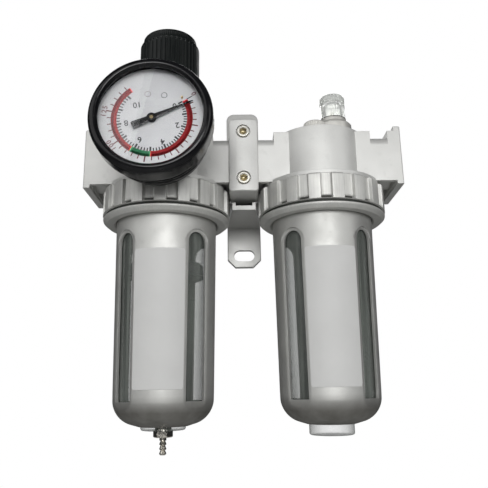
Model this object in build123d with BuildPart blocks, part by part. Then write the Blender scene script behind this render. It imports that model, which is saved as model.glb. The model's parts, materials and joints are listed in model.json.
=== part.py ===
from build123d import *
import math
import os

# Two-unit compressed-air service set on a wall bracket.  A filter regulator with a pressure gauge
# (left, -X) is clamped port to port with a lubricator (right, +X).  Millimetres.  +Z is up and -Y
# faces the user.  The origin is the centre of the bracket's back face, which lies on the wall.

os.makedirs("parts", exist_ok=True)

# ---- driving dimensions -------------------------------------------------------------------------
AXIS_Y = -34.0        # the port axis runs along X at this distance in front of the wall, at Z = 0
UNIT_X = 41.5         # each unit's vertical axis is this far from the joint plane X = 0
FILTER_X = -UNIT_X
LUBE_X = UNIT_X
RUN = 0.05            # radial running clearance of turning and sliding pieces
GAP = 0.1             # clearance between pieces that are only placed beside each other

# die-cast bodies
FACE_Y = 17.3         # half depth of the flat block
BLOCK_TOP = 13.5
BLOCK_BOTTOM = -14.3
NECK_TOP = 10.8
NECK_FROM = 25.4      # the lowered neck lies between these distances from the unit's axis
NECK_TO = 34.5
LIP_FROM = 38.0
LIP_Z = 16.1          # half height of the port flanges
NECK_ROUND = 5.0
BOSS_R = 24.6
BOSS_TOP = 14.15
SPIGOT_R = 29.0       # threaded spigot for the clamp ring
SPIGOT_BOTTOM = -28.0
CHAMBER_R = 25.5
CHAMBER_TOP = -16.5
BORE_R = 7.5          # air passage along the port axis
PORT_R = 9.3          # G1/2 core
PORT_DEPTH = 15.0
TUBE_R = 12.6         # wall round the port inside the hollow arm
ARM_WALL = 2.8
POCKET_TOP = 7.0      # the hollow arm's ceiling
CHANNEL_R = 2.2       # half-round channels that clear the clamp's screws
SKIRT_R = 31.8        # thin round flange just above the clamp ring
SKIRT_TOP = -13.3
SKIRT_BOTTOM = -15.3
BARRIER_Z = 6.5       # floor between the outlet chamber and the diaphragm cup starts here

# clamp rings, bowls and guards
RING_R = 33.6
RING_TOP = -15.4
RING_BOTTOM = -33.2
PAD_COUNT = 18
GUARD_TOP_R = 26.3
GUARD_LOW_R = 25.0
GUARD_WALL = 1.6
GUARD_LOW_Z = -121.5
GUARD_MOUTH_R = 11.5
GUARD_MOUTH_Z = -135.0
FLANGE_R = 28.4
WINDOW_W = 11.3
WINDOW_TOP = -40.8
WINDOW_BOTTOM = -122.9
BOWL_WALL = 2.2
BASE_R = 11.1         # solid foot of a bowl, which passes through the guard's mouth

# regulator, all on the filter regulator's axis
CUP_R = 21.0          # diaphragm cup in the top of the body
CUP_FLOOR = 9.5
STEM_R = 1.6
SEAT_Z = -9.0
SCREW_R = 4.0
KNOB_R = 16.9
KNOB_STEP_Z = 73.5
KNOB_TOP = 78.5
KNOB_BOTTOM = 46.0
CAP_R = 15.3          # the knob's smaller top

# pressure gauge
GAUGE_Z = 1.5
GAUGE_FRONT = 64.1    # the bezel's front edge, measured forward from the port axis
CASE_BACK = 34.2      # the case's back, just in front of the clamp ring
BEZEL_R = 28.1
DIAL_OPENING_R = 23.6
SHAFT_R = 0.8
PINION_TEETH = 10
SECTOR_TEETH = 60
MODULE = 0.4

# front clamp and wall bracket
CLAMP_HALF_X = 7.55
CLAMP_HALF_Z = 19.9
CLAMP_FRONT = 20.4
SCREW_Z = 12.9
PLATE_HALF_X = 9.75
PLATE_HALF_Z = 49.0
PLATE_T = 3.0
SLOT_Z = 42.0
SLOT_LENGTH = 12.0
SLOT_WIDTH = 6.5


# ---- helpers ------------------------------------------------------------------------------------
def upright(x, y=0.0):
    """Plane through a vertical axis, seen from the front: local X is +X and local Y is +Z."""
    return Plane(origin=(x, AXIS_Y + y, 0), x_dir=(1, 0, 0), z_dir=(0, -1, 0))


def level(x, y=0.0, z=0.0):
    """Horizontal plane at height z with its origin on a vertical axis."""
    return Plane(origin=(x, AXIS_Y + y, z), x_dir=(1, 0, 0), z_dir=(0, 0, 1))


def facing(x, z, forward):
    """Plane parallel to the wall at a distance in front of the port axis, its normal to the front."""
    return Plane(origin=(x, AXIS_Y - forward, z), x_dir=(1, 0, 0), z_dir=(0, -1, 0))


def sideways(x):
    """Plane across the port axis at X = x, its normal along +X: local X is +Y, local Y is +Z."""
    return Plane(origin=(x, AXIS_Y, 0), x_dir=(0, 1, 0), z_dir=(1, 0, 0))


def turned(outline, x, y=0.0, mode=Mode.ADD):
    """Revolve an (r, z) outline about the vertical axis at x, y."""
    with BuildSketch(upright(x, y)) as section:
        with BuildLine():
            Polyline(*outline, close=True)
        make_face()
    revolve(section.sketch, axis=Axis((x, AXIS_Y + y, 0), (0, 0, 1)), mode=mode)


def turned_to_front(outline, x, z, mode=Mode.ADD):
    """Revolve an (r, forward) outline about an axis that runs front to back through x, z."""
    plane = Plane(origin=(x, AXIS_Y, z), x_dir=(1, 0, 0), z_dir=(0, 0, 1))
    with BuildSketch(plane) as section:
        with BuildLine():
            Polyline(*[(r, -forward) for r, forward in outline], close=True)
        make_face()
    revolve(section.sketch, axis=Axis((x, AXIS_Y, z), (0, 1, 0)), mode=mode)


def post(x, y, r, low, high, mode=Mode.ADD):
    """Upright cylinder between two heights."""
    with BuildSketch(level(x, y, low)) as section:
        Circle(r)
    extrude(section.sketch, amount=high - low, mode=mode)


def bar_x(start, end, r, mode=Mode.ADD):
    """Cylinder on the port axis between two values of X."""
    with BuildSketch(sideways(start)) as section:
        Circle(r)
    extrude(section.sketch, amount=end - start, mode=mode)


def bar_y(x, z, r, front, back, mode=Mode.ADD):
    """Cylinder from front to back, both distances measured forward from the port axis."""
    with BuildSketch(facing(x, z, back)) as section:
        Circle(r)
    extrude(section.sketch, amount=front - back, mode=mode)


def block(x0, x1, y0, y1, z0, z1, mode=Mode.ADD):
    """Box between corners; y is measured backwards from the port axis."""
    with BuildSketch(level(0, 0, z0)) as section:
        with Locations(((x0 + x1) / 2, (y0 + y1) / 2)):
            Rectangle(x1 - x0, y1 - y0)
    extrude(section.sketch, amount=z1 - z0, mode=mode)


def ring_torus(x, y, z, major, minor, direction=(0, 0, 1)):
    """O-ring of round section."""
    with BuildPart() as seal:
        with Locations(Plane(origin=(x, AXIS_Y + y, z), z_dir=direction)):
            Torus(major, minor)
    return seal.part


def coil(x, y, low, high, mean_r, wire_r, turns):
    """Open helical compression spring standing between two heights."""
    height = high - low - 2 * wire_r
    with BuildPart() as spring:
        with BuildLine() as path:
            Helix(height / turns, height, mean_r, center=(x, AXIS_Y + y, low + wire_r))
        with BuildSketch(Plane(origin=path.line @ 0, z_dir=path.line % 0)) as wire:
            Circle(wire_r)
        sweep(wire.sketch, path=path.line, is_frenet=True)
    return spring.part


def save(builder, name):
    """Label a finished piece and write it."""
    builder.part.label = name
    export_step(builder.part, f"parts/{name}.step")


# ---- the casting that both units share ----------------------------------------------------------
def casting(x):
    """Flanged block with a round boss on top and a threaded spigot below, still solid inside."""
    with BuildPart() as shell:
        with BuildSketch(upright(x)) as front:
            with BuildLine():
                Polyline(
                    (0, BLOCK_TOP),
                    (NECK_FROM, BLOCK_TOP),
                    (NECK_FROM, NECK_TOP),
                    (NECK_TO, NECK_TOP),
                    (NECK_TO, BLOCK_TOP),
                    (LIP_FROM, BLOCK_TOP),
                    (LIP_FROM, LIP_Z),
                    (UNIT_X, LIP_Z),
                    (UNIT_X, -LIP_Z),
                    (LIP_FROM, -LIP_Z),
                    (LIP_FROM, BLOCK_BOTTOM),
                    (0, BLOCK_BOTTOM),
                )
                mirror(about=Plane.YZ)
            make_face()
        extrude(front.sketch, amount=FACE_Y, both=True)
        # large rounds along the tops of the lowered necks
        round_z = NECK_TOP - NECK_ROUND
        round_y = FACE_Y - NECK_ROUND
        for side in (-1, 1):
            near, far = sorted((x + side * NECK_FROM, x + side * NECK_TO))
            for back in (-1, 1):
                y0, y1 = sorted((back * round_y, back * (FACE_Y + 1)))
                with BuildSketch(sideways(near)) as corner:
                    with Locations(((y0 + y1) / 2, round_z + NECK_ROUND / 2 + 0.5)):
                        Rectangle(y1 - y0, NECK_ROUND + 1)
                    with Locations((back * round_y, round_z)):
                        Circle(NECK_ROUND, mode=Mode.SUBTRACT)
                extrude(corner.sketch, amount=far - near, mode=Mode.SUBTRACT)
        # softened vertical edges of the port flanges
        corners = [
            edge
            for edge in shell.edges().filter_by(Axis.Z)
            if abs(abs(edge.center().X - x) - UNIT_X) < 0.01
        ]
        fillet(corners, 0.8)
        post(x, 0, BOSS_R, BLOCK_BOTTOM, BOSS_TOP)
        fillet(shell.edges().filter_by(GeomType.CIRCLE).group_by(Axis.Z)[-1], 0.6)
        post(x, 0, SPIGOT_R, SPIGOT_BOTTOM, BLOCK_BOTTOM + 1)
        chamfer(shell.edges().filter_by(GeomType.CIRCLE).group_by(Axis.Z)[0], 0.5)
        # arms hollow from below, with the tube of the port left standing in them
        for side in (-1, 1):
            near, far = sorted((x + side * (SPIGOT_R + 0.5), x + side * (UNIT_X - 3.8)))
            depth = FACE_Y - ARM_WALL
            with BuildSketch(sideways(near)) as pocket:
                with Locations((0, (POCKET_TOP - LIP_Z - 1) / 2)):
                    Rectangle(2 * depth, POCKET_TOP + LIP_Z + 1)
                Circle(TUBE_R, mode=Mode.SUBTRACT)
                with Locations((0, POCKET_TOP)):
                    Rectangle(2 * depth, 2 * 4.0, mode=Mode.SUBTRACT)
            extrude(pocket.sketch, amount=far - near, mode=Mode.SUBTRACT)
        post(x, 0, SKIRT_R, SKIRT_BOTTOM, SKIRT_TOP)
        post(x, 0, CHAMBER_R, SPIGOT_BOTTOM, CHAMBER_TOP, mode=Mode.SUBTRACT)
        # half-round channels in the joint face, for the clamp's screws
        for z in (-SCREW_Z, SCREW_Z):
            bar_y(0, z, CHANNEL_R, FACE_Y + 1, -FACE_Y - 1, mode=Mode.SUBTRACT)
    return shell.part


# ---- filter regulator body ----------------------------------------------------------------------
with BuildPart() as filter_body:
    add(casting(FILTER_X))
    bar_x(-2 * UNIT_X, -2 * UNIT_X + PORT_DEPTH, PORT_R, mode=Mode.SUBTRACT)
    bar_x(-2 * UNIT_X + PORT_DEPTH, FILTER_X - 15.5, BORE_R, mode=Mode.SUBTRACT)
    post(FILTER_X - 20.2, 0, 4.2, CHAMBER_TOP - 1, 0, mode=Mode.SUBTRACT)    # down to the bowl
    post(FILTER_X, 0, 9.0, CHAMBER_TOP - 1, SEAT_Z, mode=Mode.SUBTRACT)      # valve chamber
    post(FILTER_X, 0, 5.5, SEAT_Z - 1, -5, mode=Mode.SUBTRACT)               # valve seat
    post(FILTER_X, 0, 12.0, -6, BARRIER_Z, mode=Mode.SUBTRACT)               # outlet chamber
    bar_x(FILTER_X + 8, 0, BORE_R, mode=Mode.SUBTRACT)                       # outlet
    post(FILTER_X, 0, STEM_R + RUN, 6, CUP_FLOOR + 1, mode=Mode.SUBTRACT)    # stem guide
    post(FILTER_X - 8, 0, 1.0, 6, CUP_FLOOR + 1, mode=Mode.SUBTRACT)         # pressure feedback
    post(FILTER_X, 0, CUP_R, CUP_FLOOR, BOSS_TOP + 1, mode=Mode.SUBTRACT)    # diaphragm cup
    for front, back in ((BOSS_R + 1, 8.0), (-8.0, -BOSS_R - 1)):
        bar_y(FILTER_X, GAUGE_Z, 4.9, front, back, mode=Mode.SUBTRACT)       # gauge ports
    with BuildSketch(sideways(0)) as seal_groove:
        Circle(10.3)
        Circle(8.3, mode=Mode.SUBTRACT)
    extrude(seal_groove.sketch, amount=-1.95, mode=Mode.SUBTRACT)
save(filter_body, "filter_body")

# ---- lubricator body ----------------------------------------------------------------------------
DOME_AT = (10.0, 3.0)       # sight dome, from the lubricator's axis
PLUG_AT = (-2.5, -10.0)     # oil fill plug, from the lubricator's axis
DOME_X, DOME_Y = LUBE_X + DOME_AT[0], DOME_AT[1]
PLUG_X, PLUG_Y = LUBE_X + PLUG_AT[0], PLUG_AT[1]
DOME_THREAD_R = 6.5
PLUG_THREAD_R = 4.0
OIL_BORE_R = 1.0
OIL_LEVEL_Z = -11.5         # height of the cross drilling that feeds the sight dome

with BuildPart() as lubricator_body:
    add(casting(LUBE_X))
    bar_x(0, 2 * UNIT_X - PORT_DEPTH, BORE_R, mode=Mode.SUBTRACT)
    bar_x(2 * UNIT_X - PORT_DEPTH, 2 * UNIT_X, PORT_R, mode=Mode.SUBTRACT)
    post(LUBE_X - 14, 0, 1.2, CHAMBER_TOP - 1, -5, mode=Mode.SUBTRACT)       # pressurises the bowl
    post(LUBE_X, 0, 2.05, CHAMBER_TOP - 1, -9.5, mode=Mode.SUBTRACT)         # siphon tube socket
    post(DOME_X, DOME_Y, DOME_THREAD_R, 9.5, BOSS_TOP + 1, mode=Mode.SUBTRACT)
    post(DOME_X, DOME_Y, 1.2, 5, 10, mode=Mode.SUBTRACT)                     # drip hole to the air
    rise_y = DOME_Y + 6.2
    post(DOME_X, rise_y, OIL_BORE_R, OIL_LEVEL_Z, 10, mode=Mode.SUBTRACT)
    with BuildSketch(Plane(origin=(LUBE_X, AXIS_Y, OIL_LEVEL_Z),
                           z_dir=(DOME_AT[0], rise_y, 0))) as cross_bore:
        Circle(OIL_BORE_R)
    extrude(cross_bore.sketch, amount=math.hypot(DOME_AT[0], rise_y), mode=Mode.SUBTRACT)
    post(PLUG_X, PLUG_Y, PLUG_THREAD_R, 4, BOSS_TOP + 1, mode=Mode.SUBTRACT)
    post(PLUG_X, PLUG_Y, 1.9, CHAMBER_TOP - 1, 5, mode=Mode.SUBTRACT)
save(lubricator_body, "lubricator_body")

with BuildPart() as joint_seal:
    add(ring_torus(-0.97, 0, 0, 9.3, 0.94, direction=(1, 0, 0)))
save(joint_seal, "joint_seal")


# ---- clamp rings --------------------------------------------------------------------------------
def clamp_ring(x, stop_angle):
    """Castellated ring nut: eighteen raised pads over a rounded bead, with a lip below.

    Tightened, its first recess stands stop_angle degrees past the middle of a pad's pitch."""
    rim_bottom = RING_TOP - 2.0
    pads_bottom = -29.0
    groove_r = RING_R - 1.1
    recess_r = 31.6
    bore_r = SPIGOT_R + RUN
    lip_r = GUARD_TOP_R + 0.4
    lip_top = -31.2
    pitch = 360 / PAD_COUNT
    with BuildPart() as nut:
        turned(
            [
                (lip_r, RING_BOTTOM + 0.8),
                (lip_r + 0.8, RING_BOTTOM),
                (RING_R - 1.2, RING_BOTTOM),
                (RING_R, RING_BOTTOM + 1.2),
                (RING_R, pads_bottom - 1.0),
                (groove_r, pads_bottom - 0.4),
                (groove_r, pads_bottom),
                (RING_R, pads_bottom + 0.5),
                (RING_R, RING_TOP - 0.8),
                (RING_R - 0.8, RING_TOP),
                (bore_r, RING_TOP),
                (bore_r, lip_top),
                (lip_r, lip_top),
            ],
            x,
        )
        # recesses between the pads, which leave the smooth rim above them
        recess_angle = pitch * 0.44
        inner, outer = recess_r, RING_R + 1
        half = math.radians(recess_angle / 2)
        with BuildSketch(level(x, 0, pads_bottom + 1.0)) as recess:
            with BuildLine():
                Polyline(
                    (inner * math.cos(half), -inner * math.sin(half)),
                    (outer * math.cos(half), -outer * math.sin(half)),
                    (outer * math.cos(half), outer * math.sin(half)),
                    (inner * math.cos(half), inner * math.sin(half)),
                    close=True,
                )
            make_face()
        notch = extrude(recess.sketch, amount=rim_bottom - pads_bottom - 1.0, mode=Mode.PRIVATE)
        for index in range(PAD_COUNT):
            angle = (index + 0.5) * pitch - 90 + stop_angle
            axis = Axis((x, AXIS_Y, 0), (0, 0, 1))
            add(notch.rotate(axis, angle), mode=Mode.SUBTRACT)
    return nut


save(clamp_ring(FILTER_X, 1.3), "filter_clamp_ring")
save(clamp_ring(LUBE_X, 7.4), "lubricator_clamp_ring")


# ---- bowl guards --------------------------------------------------------------------------------
GUARD_TOP_Z = -29.8
GUARD_TAPER = math.degrees(math.atan((GUARD_TOP_R - GUARD_LOW_R) / (RING_BOTTOM - GUARD_LOW_Z)))


def guard(x):
    """Tapered metal guard with four windows, each in a shallow flat."""
    wall = GUARD_WALL
    with BuildPart() as shell:
        with BuildSketch(upright(x)) as section:
            with BuildLine():
                outer_side = Line((GUARD_TOP_R, RING_BOTTOM), (GUARD_LOW_R, GUARD_LOW_Z))
                outer_dome = ThreePointArc(outer_side @ 1, (22.3, -129.4), (16.5, -133.5))
                lip = Line(outer_dome @ 1, (GUARD_MOUTH_R, GUARD_MOUTH_Z))
                mouth = Line(lip @ 1, (GUARD_MOUTH_R, GUARD_MOUTH_Z + wall))
                inner_lip = Line(mouth @ 1, (16.2, -133.5 + wall))
                inner_dome = ThreePointArc(
                    inner_lip @ 1, (22.3 - 0.75 * wall, -129.4 + 0.75 * wall),
                    (GUARD_LOW_R - wall, GUARD_LOW_Z),
                )
                inner_side = Line(inner_dome @ 1, (GUARD_TOP_R - wall, RING_BOTTOM))
                Polyline(
                    inner_side @ 1,
                    (GUARD_TOP_R - wall, GUARD_TOP_Z),
                    (FLANGE_R, GUARD_TOP_Z),
                    (FLANGE_R, GUARD_TOP_Z - 1.3),
                    (GUARD_TOP_R, GUARD_TOP_Z - 1.3),
                    (GUARD_TOP_R, RING_BOTTOM),
                )
            make_face()
        revolve(section.sketch, axis=Axis((x, AXIS_Y, 0), (0, 0, 1)))
        flat_depth = 1.0
        flat_half = 7.2
        flat_run = 14.0       # the flats run on this far below the windows
        half_w = WINDOW_W / 2
        arch_z = WINDOW_TOP - half_w
        for angle in (45, 135, 225, 315):
            outward = (math.cos(math.radians(angle)), math.sin(math.radians(angle)), 0)
            tilt = math.radians(GUARD_TAPER)
            normal = (outward[0] * math.cos(tilt), outward[1] * math.cos(tilt), -math.sin(tilt))
            across = (-outward[1], outward[0], 0)
            reach = GUARD_TOP_R - flat_depth - (RING_BOTTOM - arch_z) * math.tan(tilt)
            face = Plane(
                origin=(x + outward[0] * reach, AXIS_Y + outward[1] * reach, arch_z),
                x_dir=across,
                z_dir=normal,
            )
            drop = arch_z - WINDOW_BOTTOM
            with BuildSketch(face) as flat:
                Circle(flat_half)
                with Locations((0, -(drop + flat_run) / 2)):
                    Rectangle(2 * flat_half, drop + flat_run)
            extrude(flat.sketch, amount=4, mode=Mode.SUBTRACT)
            with BuildSketch(face) as window:
                Circle(half_w)
                with Locations((0, -drop / 2)):
                    Rectangle(WINDOW_W, drop)
            extrude(window.sketch, amount=6, both=True, mode=Mode.SUBTRACT)
    return shell


save(guard(FILTER_X), "filter_bowl_guard")
save(guard(LUBE_X), "lubricator_bowl_guard")


# ---- bowls --------------------------------------------------------------------------------------
NECK_R = CHAMBER_R - 0.2
BOWL_TOP = -21.0
BOWL_SEAL_Z = -24.2


def bowl(x, foot_z, bore_r=0.0):
    """Clear bowl with a clamping flange, an O-ring neck and a solid foot."""
    top_r = GUARD_TOP_R - GUARD_WALL - 0.5
    low_r = GUARD_LOW_R - GUARD_WALL - 0.5
    wall = BOWL_WALL
    with BuildPart() as cup:
        with BuildSketch(upright(x)) as section:
            with BuildLine():
                outer = Polyline(
                    (top_r - wall, BOWL_TOP),
                    (NECK_R - 0.4, BOWL_TOP),
                    (NECK_R, BOWL_TOP - 0.4),
                    (NECK_R, BOWL_SEAL_Z + 1.1),
                    (NECK_R - 1.4, BOWL_SEAL_Z + 1.1),
                    (NECK_R - 1.4, BOWL_SEAL_Z - 1.1),
                    (NECK_R, BOWL_SEAL_Z - 1.1),
                    (NECK_R, SPIGOT_BOTTOM - GAP),
                    (FLANGE_R, SPIGOT_BOTTOM - GAP),
                    (FLANGE_R, GUARD_TOP_Z + GAP),
                    (top_r, GUARD_TOP_Z + GAP),
                    (low_r, GUARD_LOW_Z),
                )
                dome = ThreePointArc(outer @ 1, (20.3, -127.6), (15.4, -131.2))
                foot = Polyline(
                    dome @ 1,
                    (BASE_R, -132.4),
                    (BASE_R, foot_z + 0.8),
                    (BASE_R - 0.8, foot_z),
                    (0, foot_z),
                    (0, -129.8),
                    (7.5, -129.8),
                    (14.0, -129.0),
                )
                inner_dome = ThreePointArc(foot @ 1, (18.4, -126.2), (low_r - wall, GUARD_LOW_Z))
                Line(inner_dome @ 1, outer @ 0)
            make_face()
        revolve(section.sketch, axis=Axis((x, AXIS_Y, 0), (0, 0, 1)))
        if bore_r:
            post(x, 0, bore_r, foot_z - 1, -128, mode=Mode.SUBTRACT)
    return cup


FILTER_FOOT_Z = -136.6
LUBE_FOOT_Z = -140.0
DRAIN_THREAD_R = 4.0
save(bowl(FILTER_X, FILTER_FOOT_Z, bore_r=DRAIN_THREAD_R + RUN), "filter_bowl")
save(bowl(LUBE_X, LUBE_FOOT_Z), "lubricator_bowl")

for unit_x, unit in ((FILTER_X, "filter"), (LUBE_X, "lubricator")):
    with BuildPart() as bowl_seal:
        add(ring_torus(unit_x, 0, BOWL_SEAL_Z, NECK_R - 0.62, 0.76))
    save(bowl_seal, f"{unit}_bowl_seal")

# ---- blank rating labels on the guards ----------------------------------------------------------
LABEL_TOP = -49.0
LABEL_BOTTOM = -116.0
LABEL_HALF_ANGLE = 28.0
LABEL_T = 0.3


def label_panel(x):
    """Curved blank label that follows the guard's taper between the two front windows."""
    with BuildPart() as sticker:
        slope = (GUARD_TOP_R - GUARD_LOW_R) / (RING_BOTTOM - GUARD_LOW_Z)
        top_r = GUARD_TOP_R - (RING_BOTTOM - LABEL_TOP) * slope + 0.03
        low_r = GUARD_TOP_R - (RING_BOTTOM - LABEL_BOTTOM) * slope + 0.03
        start = math.radians(-90 - LABEL_HALF_ANGLE)
        edge_plane = Plane(
            origin=(x, AXIS_Y, 0),
            x_dir=(math.cos(start), math.sin(start), 0),
            z_dir=(math.sin(start), -math.cos(start), 0),
        )
        with BuildSketch(edge_plane) as section:
            with BuildLine():
                Polyline(
                    (top_r, LABEL_TOP),
                    (top_r + LABEL_T, LABEL_TOP),
                    (low_r + LABEL_T, LABEL_BOTTOM),
                    (low_r, LABEL_BOTTOM),
                    close=True,
                )
            make_face()
        revolve(
            section.sketch,
            axis=Axis((x, AXIS_Y, 0), (0, 0, 1)),
            revolution_arc=2 * LABEL_HALF_ANGLE,
        )
    return sticker


save(label_panel(FILTER_X), "filter_label")
save(label_panel(LUBE_X), "lubricator_label")

# ---- filter internals ---------------------------------------------------------------------------
with BuildPart() as valve_guide:
    turned([(0, -22), (4.5, -22), (4.5, -19), (14, -19), (14, CHAMBER_TOP - GAP),
            (8.8, CHAMBER_TOP - GAP), (8.8, -15.6), (0, -15.6)], FILTER_X)
    post(FILTER_X, 0, 2.5, -64, -21)
    post(FILTER_X, 0, 2.0 + RUN + 0.05, -20.5, -15, mode=Mode.SUBTRACT)
    with BuildSketch(level(FILTER_X, 0, -20)) as flow_holes:
        with PolarLocations(6.4, 6):
            Circle(1.5)
    extrude(flow_holes.sketch, amount=6, mode=Mode.SUBTRACT)
save(valve_guide, "valve_guide")

with BuildPart() as swirl_vane_ring:
    turned([(10.6, -20.6), (24.8, -20.6), (24.8, -16.8), (14.3, -16.8), (14.3, -19.2),
            (10.6, -19.2)], FILTER_X)
    vane_count = 12
    slot_plane = Plane(origin=(FILTER_X + 22, AXIS_Y, -18.7), x_dir=(0, 1, 0), z_dir=(1, 0, 0))
    with BuildSketch(slot_plane) as slot:
        Rectangle(2.2, 9, rotation=40)
    cutter = extrude(slot.sketch, amount=4, both=True, mode=Mode.PRIVATE)
    for index in range(vane_count):
        turn = Axis((FILTER_X, AXIS_Y, 0), (0, 0, 1))
        add(cutter.rotate(turn, index * 360 / vane_count), mode=Mode.SUBTRACT)
save(swirl_vane_ring, "swirl_vane_ring")

with BuildPart() as filter_element:
    turned([(9.5, -54), (12.5, -54), (12.5, -20.7), (9.5, -20.7)], FILTER_X)
save(filter_element, "filter_element")

with BuildPart() as baffle:
    turned([(2.55, -60), (5, -60), (5, -55.7), (18, -55.7), (18.4, -61), (19.5, -61),
            (19.2, -54.9), (18.5, -54.1), (2.55, -54.1)], FILTER_X)
save(baffle, "baffle")

# ---- drain --------------------------------------------------------------------------------------
DRAIN_PIN_R = 1.7
NUT_BOTTOM = FILTER_FOOT_Z - 3.4
with BuildPart() as drain_body:
    with BuildSketch(level(FILTER_X, 0, NUT_BOTTOM)) as hexagon:
        RegularPolygon(4.85, 6)
    extrude(hexagon.sketch, amount=3.35)
    chamfer(drain_body.edges().group_by(Axis.Z)[0], 0.4)
    post(FILTER_X, 0, DRAIN_THREAD_R, FILTER_FOOT_Z - 0.1, -126.5)
    post(FILTER_X, 0, DRAIN_PIN_R + RUN, NUT_BOTTOM - 1, -134, mode=Mode.SUBTRACT)
    post(FILTER_X, 0, 3.0, -134, -126, mode=Mode.SUBTRACT)
save(drain_body, "drain_body")

with BuildPart() as drain_nut:
    with BuildSketch(level(FILTER_X, 0, -129.7)) as ring:
        RegularPolygon(6.6, 6)
        Circle(DRAIN_THREAD_R + RUN, mode=Mode.SUBTRACT)
    extrude(ring.sketch, amount=2.6)
save(drain_nut, "drain_nut")

with BuildPart() as drain_pin:
    tip_z = -148.2
    barbs = [(DRAIN_PIN_R - 0.5, tip_z)]
    for index in range(3):
        low = tip_z + index * 2.2
        barbs += [(DRAIN_PIN_R, low + 0.5), (DRAIN_PIN_R, low + 0.9), (DRAIN_PIN_R - 0.55, low + 2.2)]
    shoulder_z = barbs[-1][1] + 0.2
    turned([(0.8, tip_z)] + barbs + [(DRAIN_PIN_R, shoulder_z), (DRAIN_PIN_R, -133.0),
                                     (2.6, -133.0), (2.6, -131.9), (0.8, -131.9)], FILTER_X)
save(drain_pin, "drain_pin")

with BuildPart() as drain_seal:
    turned([(DRAIN_PIN_R + 0.02, -133.95), (2.7, -133.95), (2.7, -133.05),
            (DRAIN_PIN_R + 0.02, -133.05)], FILTER_X)
save(drain_seal, "drain_seal")

with BuildPart() as drain_cap:
    turned([(1.4, -127.7), (2.95, -127.7), (2.95, -126.6), (1.4, -126.6)], FILTER_X)
save(drain_cap, "drain_cap")

with BuildPart() as drain_spring:
    add(coil(FILTER_X, 0, -131.8, -127.8, 2.2, 0.22, 4))
save(drain_spring, "drain_spring")

# ---- regulating valve ---------------------------------------------------------------------------
with BuildPart() as diaphragm:
    turned([(13.2, 9.6), (20.8, 9.6), (20.8, 10.85), (15.3, 10.85), (14.8, 11.3), (13.9, 11.3),
            (13.2, 10.85)], FILTER_X)
save(diaphragm, "diaphragm")

with BuildPart() as diaphragm_plate:
    turned([(0, 11.0), (13.0, 11.0), (13.0, 12.4), (8.0, 12.4), (8.0, 15.0), (0, 15.0)], FILTER_X)
    post(FILTER_X + 5, 0, 0.8, 10, 16, mode=Mode.SUBTRACT)
save(diaphragm_plate, "diaphragm_plate")

with BuildPart() as valve_stem:
    post(FILTER_X, 0, STEM_R, SEAT_Z - 0.05, 10.98)
save(valve_stem, "valve_stem")

with BuildPart() as valve_poppet:
    turned([(0, -18.2), (2.0, -18.2), (2.0, -12.1), (7.2, -12.1), (7.2, SEAT_Z - 0.07),
            (0, SEAT_Z - 0.07)], FILTER_X)
save(valve_poppet, "valve_poppet")

with BuildPart() as valve_spring:
    add(coil(FILTER_X, 0, -15.55, -12.15, 3.6, 0.35, 3))
save(valve_spring, "valve_spring")

# ---- bonnet, range spring, adjusting screw and knob ---------------------------------------------
BONNET_IN_R = 15.5
KEY_R = 17.0
with BuildPart() as bonnet:
    turned([(BONNET_IN_R, 10.95), (CUP_R - RUN, 10.95), (CUP_R - RUN, BOSS_TOP + GAP),
            (24.3, BOSS_TOP + GAP), (24.3, 17.6), (21.6, 18.6), (19.2, 43.2), (18.2, 44.2),
            (12.5, 44.2), (12.5, 50), (SCREW_R + 0.08, 50), (SCREW_R + 0.08, 40),
            (BONNET_IN_R, 40)], FILTER_X)
    for side in (-1, 1):
        low, high = sorted((side * (BONNET_IN_R - 1), side * (KEY_R + 0.25)))
        block(FILTER_X + low, FILTER_X + high, -1.75, 1.75, 20, 40, mode=Mode.SUBTRACT)
    rib_count = 24
    for index in range(rib_count):
        angle = math.radians((index + 0.5) * 360 / rib_count)
        groove_r = 22.6
        foot = (FILTER_X + groove_r * math.cos(angle), AXIS_Y + groove_r * math.sin(angle), 20.5)
        lean = Plane(origin=foot, z_dir=(-2.4 * math.cos(angle), -2.4 * math.sin(angle), 24.6))
        with BuildSketch(lean) as groove:
            Circle(1.9)
        extrude(groove.sketch, amount=20, mode=Mode.SUBTRACT)
    bar_y(FILTER_X, 24, 1.0, 25, 10, mode=Mode.SUBTRACT)          # breather hole
save(bonnet, "bonnet")

SEAT_TOP = 35.9
SEAT_BOTTOM = 31.0
with BuildPart() as spring_seat:
    turned([(SCREW_R + RUN, SEAT_BOTTOM - 3), (7.6, SEAT_BOTTOM - 3), (7.6, SEAT_BOTTOM),
            (15.2, SEAT_BOTTOM), (15.2, SEAT_BOTTOM + 2.6), (8, SEAT_TOP), (SCREW_R + RUN, SEAT_TOP)],
           FILTER_X)
    for side in (-1, 1):
        low, high = sorted((side * 12, side * KEY_R))
        block(FILTER_X + low, FILTER_X + high, -1.5, 1.5, SEAT_BOTTOM, SEAT_BOTTOM + 1.8)
save(spring_seat, "spring_seat")

SPRING_BOTTOM = 12.6
with BuildPart() as range_spring:
    add(coil(FILTER_X, 0, SPRING_BOTTOM, SEAT_BOTTOM - 0.15, 10.2, 1.2, 5))
save(range_spring, "range_spring")

with BuildPart() as adjusting_screw:
    turned([(0, 17.5), (SCREW_R - 1, 17.5), (SCREW_R, 18.5), (SCREW_R, 36.6), (7.0, 36.6),
            (7.0, 39.9), (SCREW_R, 39.9), (SCREW_R, 50.5), (0, 50.5)], FILTER_X)
    with BuildSketch(level(FILTER_X, 0, 50.4)) as drive:
        RegularPolygon(4.4, 6)
    extrude(drive.sketch, amount=18)
    with BuildSketch(level(FILTER_X, 0, 50.4)) as waist:
        Circle(6)
        Circle(3.4, mode=Mode.SUBTRACT)
    extrude(waist.sketch, amount=0.9, mode=Mode.SUBTRACT)
save(adjusting_screw, "adjusting_screw")

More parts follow.
